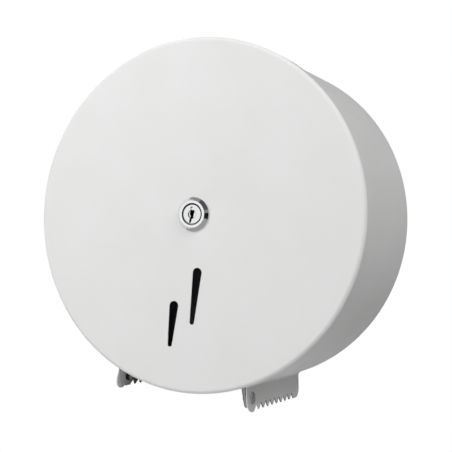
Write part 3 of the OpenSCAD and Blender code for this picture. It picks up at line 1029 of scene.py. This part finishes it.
@dataclass
class Band:
    """The rolled side band, whose two ends are bent down into the toothed tear plates."""

    mid_r: float = 132.9
    depth: float = 112.0
    sheet: float = 1.0
    bend_mid_r: float = 4.0
    bend_at: float = 25.14
    splay: float = 8.0
    hinge_z: float = -132.6
    lobe_r: float = 10.5
    hole_r: float = 2.45
    tips_z: float = -142.0
    corner_r: float = 8.0
    teeth: int = 8
    pitch: float = 9.5
    tooth_depth: float = 5.0
    tooth_flat: float = 1.4
    root_r: float = 0.8
    first_tip: float = 12.6
    edge_soft: float = 0.28

    def bend_centre(self) -> Point2:
        """Centre of the bend at the right end of the band."""
        turn, far = math.radians(self.bend_at), self.mid_r + self.bend_mid_r
        return far * math.sin(turn), -far * math.cos(turn)

    def plate_top(self) -> Point2:
        """Find where the right bend runs into its tear plate.

        Returns:
            The x and z of the sheet's middle there.
        """
        lean = math.radians(self.splay)
        x, z = self.bend_centre()
        return x - self.bend_mid_r * math.cos(lean), z - self.bend_mid_r * math.sin(lean)

    def down_plate(self, z: float) -> float:
        """Distance from a plate's top to a height, along the plate."""
        return (self.plate_top()[1] - z) / math.cos(math.radians(self.splay))

    def on_plate(self, out: float, down: float, side: Side) -> Vector:
        """Place a point of a tear plate.

        Args:
            out: Distance from the wall.
            down: Distance below the plate's top, along the plate.
            side: Which plate.

        Returns:
            The point, in metres.
        """
        lean = math.radians(self.splay)
        x, z = self.plate_top()
        x, z = x + down * math.sin(lean), z - down * math.cos(lean)
        return Vector((side.value * x, -out, z)) * MM

    def section(self) -> list[Point2]:
        """Trace the band and its two bends from the right plate's top to the left one's.

        Returns:
            The x and z of points along the sheet's middle.
        """
        bend = arc(self.bend_centre(), self.bend_mid_r, 180 + self.splay, 90 + self.bend_at, 10)
        right = [self.plate_top()] + bend[1:]
        across = arc((0, 0), self.mid_r, self.bend_at - 90, 270 - self.bend_at, 160)[1:-1]
        return right + across + [(-x, z) for x, z in reversed(right)]

    def plate_faces(self, bm: BMesh, side: Side) -> None:
        """Add the two halves of a tear plate, above and below the middle of its rivet hole.

        Args:
            bm: The mesh that they join.
            side: Which plate.
        """
        hinge_out = self.depth - self.lobe_r
        hinge_down = self.down_plate(self.hinge_z)
        tips = self.down_plate(self.tips_z)
        centre = (hinge_out, hinge_down)
        upper = [(0.0, 0.0), (0.0, hinge_down)] + arc(centre, self.hole_r, 180, 360, 14)
        upper += [(self.depth, hinge_down), (self.depth, 0.0)]
        lower = [(0.0, hinge_down)] + arc(centre, self.hole_r, 180, 0, 14)
        lower += arc(centre, self.lobe_r, 0, 90, 14)[:-1] + self.lobe_end(centre, tips)
        lower += arc((self.corner_r, tips - self.corner_r), self.corner_r, 90, 180, 10)
        for outline in (upper, lower):
            bm.faces.new([bm.verts.new(self.on_plate(out, down, side)) for out, down in outline])

    def lobe_end(self, centre: Point2, tips: float) -> list[Point2]:
        """Points from the hinge lobe's lowest one to where it meets the line of the tooth tips.

        Args:
            centre: The lobe's centre.
            tips: Distance of the tooth tips below the plate's top.

        Returns:
            The points, from the front to the rear.
        """
        reach = math.sqrt(self.lobe_r**2 - (tips - centre[1]) ** 2)
        last = 180 - math.degrees(math.atan2(tips - centre[1], reach))
        return arc(centre, self.lobe_r, 90, last, 6)

    def notch_tool(self, side: Side) -> Object:
        """Build the tools that cut the notches between a plate's teeth.

        Args:
            side: Which plate.

        Returns:
            The tools, one for each notch.
        """
        half_w = (self.pitch - self.tooth_flat) / 2
        root = self.tooth_depth - self.root_r
        slope = math.atan2(half_w, root) - math.asin(self.root_r / math.hypot(half_w, root))
        turn = math.degrees(slope)
        tips = self.down_plate(self.tips_z)
        first = self.depth - self.lobe_r - self.first_tip + self.pitch / 2
        outline = [(-half_w * 1.25, tips + root * 0.25), (-half_w, tips)]
        outline += arc((0.0, tips - root), self.root_r, 180 - turn, 360 + turn, 8)
        outline += [(half_w, tips), (half_w * 1.25, tips + root * 0.25)]
        lean = math.radians(self.splay)
        normal = Vector((side.value * math.cos(lean), 0, math.sin(lean))) * MM * self.sheet * 1.5
        bm = bmesh.new()
        spots = [self.on_plate(first + out, down, side) for out, down in outline]
        rings = [[bm.verts.new(spot + normal * way) for spot in spots] for way in (-1, 1)]
        bm.faces.new(rings[0])
        bm.faces.new(list(reversed(rings[1])))
        for i in range(len(spots)):
            j = (i + 1) % len(spots)
            bm.faces.new((rings[0][i], rings[0][j], rings[1][j], rings[1][i]))
        tool, step = as_object(bm, "notch_tool"), Vector((0, self.pitch, 0))
        return repeat_in_row(tool, self.teeth + 1, step, DRUM_PAINT.material())

    def build(self) -> None:
        """Build and dress the band."""
        bm = bmesh.new()
        section = self.section()
        rows = [
            [bm.verts.new((x * MM, -out * MM, z * MM)) for x, z in section]
            for out in (0.0, self.depth)
        ]
        for i in range(len(section) - 1):
            bm.faces.new((rows[0][i], rows[0][i + 1], rows[1][i + 1], rows[1][i]))
        for side in Side:
            self.plate_faces(bm, side)
        sheet = as_object(bm, "band_sheet")
        wall = sheet.modifiers.new("sheet", "SOLIDIFY")
        wall.thickness = self.sheet * MM
        wall.offset = 0.0
        wall.use_even_offset = True
        settle(sheet)
        for side in Side:
            cut(sheet, self.notch_tool(side))
        dress(shade(soften(sheet, self.edge_soft)), DRUM_PAINT, Body.BASE, ["side_band"])


@dataclass
class Hinge:
    """The two blind rivets that the lid swings on."""

    x: float = 55.3
    y: float = -101.5
    z: float = -132.6
    splay: float = 8.0
    sheet: float = 1.0
    ear_in_x: float = 51.86
    play: float = 0.1
    shank_r: float = 2.4
    tail_r: float = 3.6
    tail_l: float = 3.0
    tail_round: float = 1.4
    flange_r: float = 4.75
    flange_t: float = 1.1
    well_r: float = 2.4
    well: float = 0.95
    mandrel_r: float = 0.85

    def rivet(self, side: Side) -> None:
        """Build and dress one rivet: a domed flange with its well, shank, tail and mandrel.

        Args:
            side: Which side it is on.
        """
        lean = math.radians(self.splay)
        plate_out = self.x + self.sheet / 2 / math.cos(lean)
        tail_at = self.ear_in_x - self.play
        to_right = Matrix.Rotation(math.radians(90), 4, "Y")
        leaning = Matrix.Rotation(math.radians(90) - lean, 4, "Y")
        mirror = Matrix.Scale(side.value, 4, (1, 0, 0))
        top = self.flange_t
        flange = rounded(
            [(self.mandrel_r, top - self.well, 0.0), (self.well_r * 0.55, top - self.well, 0.1),
             (self.well_r, top - 0.03, 0.2), (self.flange_r * 0.68, top - 0.05, 1.6),
             (self.flange_r, top * 0.3, 0.25), (self.flange_r, 0.0, 0.1),
             (self.mandrel_r, 0.0, 0.0)],
            steps=5,
        )
        pin_r = self.mandrel_r + 0.02
        mandrel = [(0.0, top - 0.5), (self.mandrel_r * 0.55, top - 0.52),
                   (self.mandrel_r * 0.86, top - 0.62), (pin_r, top - 0.75),
                   (pin_r, 0.1), (0.0, 0.1)]
        tail = (self.tail_r - self.tail_round, self.tail_round - self.tail_l)
        end = plate_out - tail_at + top / 2
        shank = [(0.0, -self.tail_l), *arc(tail, self.tail_round, -90, 0, 5),
                 *arc((self.tail_r - 0.3, -0.3), 0.3, 0, 90, 3),
                 (self.shank_r, 0.0), (self.shank_r, end), (0.0, end)]
        bm = bmesh.new()
        at_plate = mirror @ Matrix.Translation((plate_out, self.y, self.z)) @ leaning
        at_ear = mirror @ Matrix.Translation((tail_at, self.y, self.z)) @ to_right
        turn_profile(bm, flange, SMALL_ROUND, at_plate)
        turn_profile(bm, mandrel, 24, at_plate, closed=False)
        turn_profile(bm, shank, 48, at_ear, closed=False)
        word = side.name.lower()
        piece = shade(as_object(bm, f"hinge_rivet_{word}"))
        dress(piece, RIVET_ALLOY, Body.BASE, [f"{word}_hinge_rivet"])

    def build(self) -> None:
        """Build both rivets."""
        for side in Side:
            self.rivet(side)


@dataclass
class Spindle:
    """The rivets that hold the spindle's flange to the back plate."""

    rivet_at: float = 25.0
    rivet_r: float = 2.0
    base: float = 3.0
    head_r: float = 3.6
    head_h: float = 1.3
    count: int = 4

    def build(self) -> None:
        """Build and dress the rivets."""
        bm = bmesh.new()
        top = self.base + self.head_h
        head = rounded(
            [(0.0, 0.0, 0.0), (self.rivet_r, 0.0, 0.15), (self.rivet_r, self.base, 0.0),
             (self.head_r, self.base, 0.1), (self.head_r, self.base + self.head_h * 0.3, 0.5),
             (self.head_r * 0.6, top, 1.6), (0.0, top, 0.0)],
            steps=5,
        )
        place = Matrix.Translation((self.rivet_at, 0, 0)) @ FACING_FRONT
        turn_profile(bm, head, 40, place, closed=False)
        rivets = as_object(bm, "spindle_rivets")
        repeat_round_axis(rivets, self.count, 45.0, RIVET_ALLOY.material())
        dress(shade(rivets), RIVET_ALLOY, Body.BASE, ["flange_rivets"])


@dataclass
class RollHub:
    """The moulded hub that carries the roll's core: sleeve, bush, ribs and stop flange."""

    rear: float = 5.5
    front: float = 101.2
    bore_r: float = 16.05
    wall: float = 1.8
    outer_r: float = 22.0
    flange_r: float = 38.0
    flange_t: float = 2.5
    web_t: float = 1.5
    chamfer: float = 1.0
    ribs: int = 6
    rib_t: float = 1.6
    rib_root: float = 0.4
    rib_short: float = 1.6
    rib_lead: float = 0.5
    rib_thin: float = 0.7

    def build(self) -> None:
        """Build and dress the hub."""
        length = self.front - self.rear
        inner, bush = self.outer_r - self.wall, self.bore_r + self.wall
        rim = self.flange_r - self.flange_t
        profile = rounded(
            [(self.bore_r, 0.0, 0.3), (self.flange_r, 0.0, 0.7),
             (self.flange_r, self.flange_t, 0.7), (rim, self.flange_t, 0.4),
             (rim, self.web_t, 0.5), (self.outer_r, self.web_t, 1.0),
             (self.outer_r, length - self.chamfer, 0.6), (self.outer_r - self.chamfer, length, 0.4),
             (inner, length, 0.2), (inner, self.web_t, 0.3), (bush, self.web_t, 0.3),
             (bush, length, 0.3), (self.bore_r, length, 0.3)],
            steps=3,
        )
        place = Matrix.Translation((0, -self.rear, 0)) @ FACING_FRONT
        bm = bmesh.new()
        turn_profile(bm, profile, 96, place)
        hub = as_object(bm, "hub_moulding")
        bm = bmesh.new()
        half = self.rib_t / 2
        start, end = bush - self.rib_root, inner + self.rib_root
        outline = [(start, -half), (end, -half), (end, half), (start, half)]
        thin = [(x, y * self.rib_thin) for x, y in outline]
        top = length - self.rib_short
        foot = self.web_t - self.rib_root
        loft(bm, [(outline, foot), (outline, top), (thin, top + self.rib_lead)], place)
        ribs = as_object(bm, "hub_ribs")
        repeat_round_axis(ribs, self.ribs, 0.0, HUB_PLASTIC.material())
        join(hub, ribs)
        dress(shade(hub), HUB_PLASTIC, Body.HUB, ["roll_hub"])


# ---------------------------------------------------------------- the lock


@dataclass
class CamLock:
    """The cam lock's body and plug."""

    face: float = 122.0
    head_h: float = 3.4
    base_r: float = 13.0
    face_r: float = 11.1
    bevel: float = 0.8
    step: float = 0.95
    open_r: float = 8.3
    under_plug: float = 0.5
    head_root: float = 0.8
    bore_r: float = 6.45
    plug_r: float = 6.4
    plug_head_r: float = 7.25
    plug_head_h: float = 1.6
    sink: float = 0.5
    barrel_r: float = 9.0
    barrel_half_flat: float = 8.0
    barrel_end: float = 106.0
    thread_depth: float = 0.55
    thread_pitch: float = 1.0
    thread_start: float = 0.9
    thread_short: float = 2.2
    tail_w: float = 6.0
    tail_end: float = 101.5
    screw_bore_r: float = 2.05
    screw_bore: float = 3.2
    pocket_r: float = 3.3
    pocket: float = 0.8
    key_depth: float = 13.0
    groove: float = 1.2

    def housing(self) -> Object:
        """Build the lock's body: its tapered head and the threaded barrel with two flats.

        Returns:
            The body.
        """
        floor = self.head_h - self.sink - self.plug_head_h - self.under_plug
        top, neck_r, root = self.head_h, self.barrel_r - 0.6, -self.head_root
        head = rounded(
            [(self.bore_r, root, 0.0), (neck_r, root, 0.0), (neck_r, 0.0, 0.0),
             (self.base_r, 0.0, 0.12), (self.base_r, self.step, 0.25),
             (self.face_r, top - self.bevel, 0.35), (self.face_r - self.bevel, top, 0.35),
             (self.open_r, top, 0.22), (self.open_r, floor, 0.2), (self.bore_r, floor, 0.15)],
            steps=5,
        )
        place = Matrix.Translation((0, -self.face, 0)) @ FACING_FRONT
        bm = bmesh.new()
        turn_profile(bm, head, 128, place)
        body = as_object(bm, "lock_body")
        core = self.barrel_r - self.thread_depth
        end = self.barrel_end
        barrel = rounded(
            [(self.bore_r, end, 0.2), (core, end, 0.4), (core, self.face - 0.2, 0.0),
             (self.bore_r, self.face - 0.2, 0.0)],
            steps=3,
        )
        bm = bmesh.new()
        turn_profile(bm, barrel, SMALL_ROUND)
        tube = as_object(bm, "lock_barrel")
        length = self.face - end - self.thread_short
        ridge = screw_thread(
            "barrel_thread", self.barrel_r, self.thread_pitch, length, self.thread_depth,
            LOCK_PLATING.material(),
        )
        start = Matrix.Translation((0, -(end + self.thread_start) * MM, 0))
        ridge.data.transform(start @ FACING_FRONT)
        for part in (tube, ridge):
            bm = bmesh.new()
            half, far = self.barrel_half_flat, self.base_r + 2
            box = [(-half, -far), (half, -far), (half, far), (-half, far)]
            prism(bm, box, end - 2, self.face + 2, FACING_FRONT)
            cut(part, as_object(bm, "flats"), "INTERSECT")
        join(tube, ridge)
        return join(body, tube)

    def keyway(self) -> list[Point2]:
        """Outline of the keyway in the plug's face.

        Returns:
            The outline's points.
        """
        return [(-1.9, 5.5), (-0.2, 5.6), (0.1, 5.0), (-1.0, 4.7), (-1.0, 3.1), (0.6, 2.8),
                (1.4, 2.2), (1.5, 0.8), (1.1, 0.2), (1.1, -1.6), (0.9, -3.2), (0.2, -3.8),
                (0.1, -5.6), (-1.6, -5.9), (-1.6, -4.2), (-1.3, -3.0), (-1.3, -1.4), (-1.9, -0.8),
                (-2.2, 0.2), (-2.1, 1.6), (-1.5, 2.6), (-1.6, 3.1), (-1.6, 4.6)]

    def plug(self) -> Object:
        """Build the plug with its keyway, pocket and groove.

        Returns:
            The plug.
        """
        face = self.face + self.head_h - self.sink
        neck = face - self.plug_head_h
        head = rounded(
            [(0.0, self.barrel_end, 0.0), (self.plug_r, self.barrel_end, 0.3),
             (self.plug_r, neck, 0.0), (self.plug_head_r, neck, 0.2),
             (self.plug_head_r, face, 0.32), (0.0, face, 0.0)],
            steps=4,
        )
        bm = bmesh.new()
        turn_profile(bm, head, 96, closed=False)
        body = as_object(bm, "lock_cylinder")
        bm = bmesh.new()
        prism(bm, self.keyway(), face - self.key_depth, face + 1, FACING_FRONT)
        cut(body, as_object(bm, "key_tool"))
        bm = bmesh.new()
        bottom, lip_r = face - self.pocket, self.pocket_r + 0.14
        pocket = [(0.0, bottom), (self.pocket_r - self.pocket * 0.7, bottom),
                  (self.pocket_r, face - 0.12), (lip_r, face), (lip_r, face + 1), (0.0, face + 1)]
        turn_profile(bm, pocket, 56, closed=False)
        cut(body, as_object(bm, "pocket_tool"))
        bm = bmesh.new()
        groove = [(-1.7, -9.0), (-0.45, -9.0), (-0.2, -4.9), (-1.62, -4.9)]
        prism(bm, groove, face - self.groove, face + 1, FACING_FRONT)
        cut(body, as_object(bm, "groove_tool"))
        bm = bmesh.new()
        w = self.tail_w / 2
        square = rounded([(-w, -w, 0.4), (w, -w, 0.4), (w, w, 0.4), (-w, w, 0.4)], steps=3)
        prism(bm, square, self.tail_end, self.barrel_end + 0.5, FACING_FRONT)
        tail = as_object(bm, "plug_tail")
        bm = bmesh.new()
        bore = arc((0, 0), self.screw_bore_r, 0, 350, 35)
        prism(bm, bore, self.tail_end - 1, self.tail_end + self.screw_bore, FACING_FRONT)
        cut(tail, as_object(bm, "bore_tool"))
        return join(body, tail)

    def build(self) -> None:
        """Build and dress the lock."""
        dress(shade(self.housing()), LOCK_PLATING, Body.LID, ["lock_housing"])
        dress(shade(self.plug()), PLUG_PLATING, Body.LOCK, ["lock_plug"])


# ---------------------------------------------------------------- plain pressed and turned parts


@dataclass
class FinishedPart:
    """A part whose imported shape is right, with its sharp edges broken."""

    node: str
    finish: Finish
    body: Body
    edge: float

    def build(self) -> None:
        """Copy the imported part, break its edges and dress it."""
        bm = bmesh.new()
        bm.from_mesh(frame["nodes"][self.node].data)
        part = as_object(bm, f"{self.node}_finished")
        dress(shade(soften(part, self.edge)), self.finish, self.body, [self.node])


FINISHED_PARTS = [
    FinishedPart("back_plate", DRUM_PAINT, Body.BASE, 0.25),
    FinishedPart("spindle_flange", BRIGHT_ZINC, Body.BASE, 0.25),
    FinishedPart("spindle_tube", BRIGHT_ZINC, Body.BASE, 0.2),
    FinishedPart("spindle_cap", BRIGHT_ZINC, Body.BASE, 0.25),
    FinishedPart("rear_hub_washer", NYLON, Body.BASE, 0.3),
    FinishedPart("front_hub_washer", NYLON, Body.BASE, 0.2),
    FinishedPart("hub_retaining_ring", BRIGHT_ZINC, Body.BASE, 0.2),
    FinishedPart("hinge_washers", BRIGHT_ZINC, Body.BASE, 0.12),
    FinishedPart("left_hinge_ear", EAR_PAINT, Body.LID, 0.25),
    FinishedPart("right_hinge_ear", EAR_PAINT, Body.LID, 0.25),
    FinishedPart("lock_washer", BRIGHT_ZINC, Body.LID, 0.2),
    FinishedPart("lock_nut", BRIGHT_ZINC, Body.LID, 0.25),
    FinishedPart("cam_collar", BRIGHT_ZINC, Body.LOCK, 0.2),
    FinishedPart("lock_cam", BRIGHT_ZINC, Body.LOCK, 0.3),
    FinishedPart("cam_washer", BRIGHT_ZINC, Body.LOCK, 0.15),
    FinishedPart("cam_screw", BRIGHT_ZINC, Body.LOCK, 0.15),
]


# ---------------------------------------------------------------- the studio

WHITE = (1, 1, 1, 1)

# Where the lights and the cards aim, in metres
DRUM_MIDDLE = (0, -0.06, 0)
LOCK_FOOT = (0, -0.122, 0)


@dataclass(frozen=True)
class PhotoCamera:
    """The camera, solved from the photograph: angles in degrees, `_px` sizes in its pixels."""

    azimuth: float = 23.961
    elevation: float = 0.301
    roll: float = 6.286
    focal_px: float = 1068.5
    right_px: float = -32.4
    up_px: float = 11.662
    distance: float = 806.8
    aim_out: float = 122.0
    image_px: int = 452
    sensor: float = 36.0

    def build(self) -> None:
        """Place the camera and make it the scene's own."""
        az, el, roll = (math.radians(a) for a in (self.azimuth, self.elevation, self.roll))
        back = Vector((math.sin(az) * math.cos(el), -math.cos(az) * math.cos(el), math.sin(el)))
        right = Vector((math.cos(az), math.sin(az), 0))
        up = back.cross(right)
        across = math.cos(roll) * right + math.sin(roll) * up
        upright = -math.sin(roll) * right + math.cos(roll) * up
        scale = self.distance / self.focal_px
        place = Vector((0, -self.aim_out, 0)) + self.distance * back
        place -= (self.right_px * across + self.up_px * upright) * scale
        data = bpy.data.cameras.new("photo_camera")
        data.sensor_width = self.sensor
        data.sensor_fit = "HORIZONTAL"
        data.lens = self.focal_px / self.image_px * self.sensor
        data.clip_start = 0.01
        camera = bpy.data.objects.new("photo_camera", data)
        bpy.context.scene.collection.objects.link(camera)
        turn = Matrix((across, upright, back)).transposed().to_4x4()
        camera.matrix_world = Matrix.Translation(place * MM) @ turn
        bpy.context.scene.camera = camera


@dataclass(frozen=True)
class SoftBox:
    """A rectangular studio light: place, aim and size in metres, power in watts."""

    name: str
    place: Corner
    aim: Corner
    width: float
    height: float
    power: float

    def build(self) -> None:
        """Hang the light."""
        data = bpy.data.lights.new(self.name, "AREA")
        data.shape = "RECTANGLE"
        data.size, data.size_y = self.width, self.height
        data.energy = self.power
        lamp = bpy.data.objects.new(self.name, data)
        bpy.context.scene.collection.objects.link(lamp)
        way = Vector(self.aim) - Vector(self.place)
        lamp.rotation_euler = way.to_track_quat("-Z", "Y").to_euler()
        lamp.location = self.place
        lamp.visible_glossy = False


def set_piece(bm: BMesh, name: str, place: Matrix, graph: Graph) -> Object:
    """Make a plain piece of the studio.

    Args:
        bm: Its mesh, which is freed.
        name: Its name.
        place: Where the mesh goes, in metres.
        graph: Its material.

    Returns:
        The piece, linked to the scene.
    """
    mesh = bpy.data.meshes.new(name)
    bm.to_mesh(mesh)
    bm.free()
    mesh.transform(place)
    mesh.materials.append(graph.material)
    obj = bpy.data.objects.new(name, mesh)
    bpy.context.scene.collection.objects.link(obj)
    return obj


@dataclass(frozen=True)
class Flag:
    """A grey card that only polished metal sees: place, aim and size in metres."""

    name: str
    place: Corner
    aim: Corner
    width: float
    height: float
    grey: float

    def build(self) -> None:
        """Stand the card up."""
        bm = bmesh.new()
        bmesh.ops.create_grid(bm, x_segments=1, y_segments=1, size=0.5)
        way = Vector(self.place) - Vector(self.aim)
        turn = way.to_track_quat("Z", "Y").to_matrix().to_4x4()
        scale = Matrix.Diagonal((self.width, self.height, 1, 1))
        graph = Graph(self.name)
        glow = graph.add("ShaderNodeEmission", {"Color": (self.grey, self.grey, self.grey, 1.0)})
        graph.put(graph.surface, glow.outputs[0])
        card = set_piece(bm, self.name, Matrix.Translation(self.place) @ turn @ scale, graph)
        card.visible_camera = card.visible_diffuse = card.visible_shadow = False
        card.visible_transmission = False


@dataclass(frozen=True)
class Studio:
    """A pale floor, soft boxes, grey cards and a white surround.

    The surround's light goes from `underneath` to `overhead` between the two upward parts of
    a ray's way in `fall`. The floor fades out between two shares of its radius, in `fade`.
    """

    floor_z: float = -0.43
    floor_r: float = 0.85
    floor_colour: Corner = (0.86, 0.86, 0.86)
    fade: Point2 = (0.35, 0.97)
    overhead: float = 0.10
    underneath: float = 0.28
    fall: Point2 = (-0.6, 0.8)

    boxes: tuple[SoftBox, ...] = (
        SoftBox("near_left_box", (-0.55, -0.85, 0.45), DRUM_MIDDLE, 0.5, 0.5, 5.1),
        SoftBox("right_top_box", (1.0, -0.5, 1.3), DRUM_MIDDLE, 0.9, 0.9, 16.0),
        SoftBox("front_box", (0.1, -1.8, 0.1), DRUM_MIDDLE, 0.9, 0.9, 6.4),
        SoftBox("rear_fill_box", (-1.1, 1.1, 0.5), DRUM_MIDDLE, 0.9, 0.9, 9.0),
    )
    flags: tuple[Flag, ...] = (
        Flag("top_card", (-0.475, -0.285, 1.125), LOCK_FOOT, 1.3, 1.1, 0.30),
        Flag("top_right_card", (0.49, -0.62, 1.02), LOCK_FOOT, 1.3, 1.25, 0.09),
        Flag("streak_card", (1.3, -0.93, 0.55), LOCK_FOOT, 1.2, 1.2, 0.26),
        Flag("right_card", (1.25, -0.90, -0.02), LOCK_FOOT, 0.9, 1.0, 0.25),
        Flag("dark_strip", (1.10, -0.81, 0.0), LOCK_FOOT, 0.7, 0.62, 0.012),
        Flag("low_card", (0.0, -0.2, -0.41), (0.0, -0.2, 1.0), 2.0, 2.0, 0.36),
        Flag("rear_card", (0.2, 1.6, 0.1), (0.2, 0, 0.1), 3.6, 3.4, 0.04),
    )

    def surround(self) -> None:
        """Make the world: white where it is seen or mirrored, softer as a source of light."""
        world = bpy.data.worlds.new("surround")
        bpy.context.scene.world = world
        world.use_nodes = True
        writer = NodeWriter(world.node_tree)
        soft = world.node_tree.nodes["Background"]
        writer.put(soft.inputs["Color"], WHITE)
        white = writer.add("ShaderNodeBackground", {"Color": WHITE})
        way = writer.add("ShaderNodeTexCoord").outputs["Generated"]
        up = writer.add("ShaderNodeSeparateXYZ", {0: way}).outputs[2]
        strength = writer.ramp(up, *self.fall, self.underneath, self.overhead)
        writer.put(soft.inputs["Strength"], strength)
        path = writer.add("ShaderNodeLightPath").outputs
        rays = [path[f"Is {kind} Ray"] for kind in ("Camera", "Glossy", "Transmission")]
        seen = reduce(partial(writer.maths, "MAXIMUM"), rays)
        mix = writer.add("ShaderNodeMixShader", {0: seen, 1: soft.outputs[0], 2: white.outputs[0]})
        writer.put(world.node_tree.nodes["World Output"].inputs["Surface"], mix.outputs[0])

    def floor(self) -> None:
        """Lay a pale round floor that fades out towards its edge."""
        graph = Graph("pale floor")
        graph.feed("Base Color", (*self.floor_colour, 1.0))
        graph.feed("Roughness", 0.7)
        away = graph.maths("SQRT", graph.square_of_reach(1))
        ends = (self.floor_r * share for share in self.fade)
        fade = graph.ramp(away, *ends, interpolation_type="SMOOTHSTEP")
        paint, clear = graph.shader.outputs[0], graph.add("ShaderNodeBsdfTransparent").outputs[0]
        mix = graph.add("ShaderNodeMixShader", {0: fade, 1: paint, 2: clear})
        graph.put(graph.surface, mix.outputs[0])
        bm = bmesh.new()
        bmesh.ops.create_circle(bm, cap_ends=True, segments=96, radius=self.floor_r)
        set_piece(bm, "floor", Matrix.Translation((0, 0, self.floor_z)), graph)

    def build(self) -> None:
        """Set the studio up."""
        bpy.context.scene.view_settings.view_transform = "Standard"
        self.surround()
        self.floor()
        for light in (*self.boxes, *self.flags):
            light.build()


def dress_packed_nodes() -> None:
    """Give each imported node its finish, also where a finer piece stands for it."""
    finishes = {
        Slot.PAINT: EAR_PAINT, Slot.CHROME: LOCK_PLATING, Slot.ZINC: BRIGHT_ZINC,
        Slot.NYLON: NYLON, Slot.HUB: HUB_PLASTIC,
    }
    for part in frame["record"]["subparts"]:
        node = frame["nodes"][part["node"]]
        for holder in node.material_slots:
            holder.material = finishes[Slot(part["material_slot"])].material()


def main() -> None:
    """Build the dispenser and the studio round it."""
    logging.basicConfig(level=logging.INFO, format="%(name)s: %(message)s")
    dress_packed_nodes()
    sub_assemblies = [Lid(), Band(), Hinge(), Spindle(), RollHub(), CamLock(), *FINISHED_PARTS]
    for sub_assembly in sub_assemblies:
        sub_assembly.build()
    Studio().build()
    PhotoCamera().build()


if __name__ == "__main__":
    main()
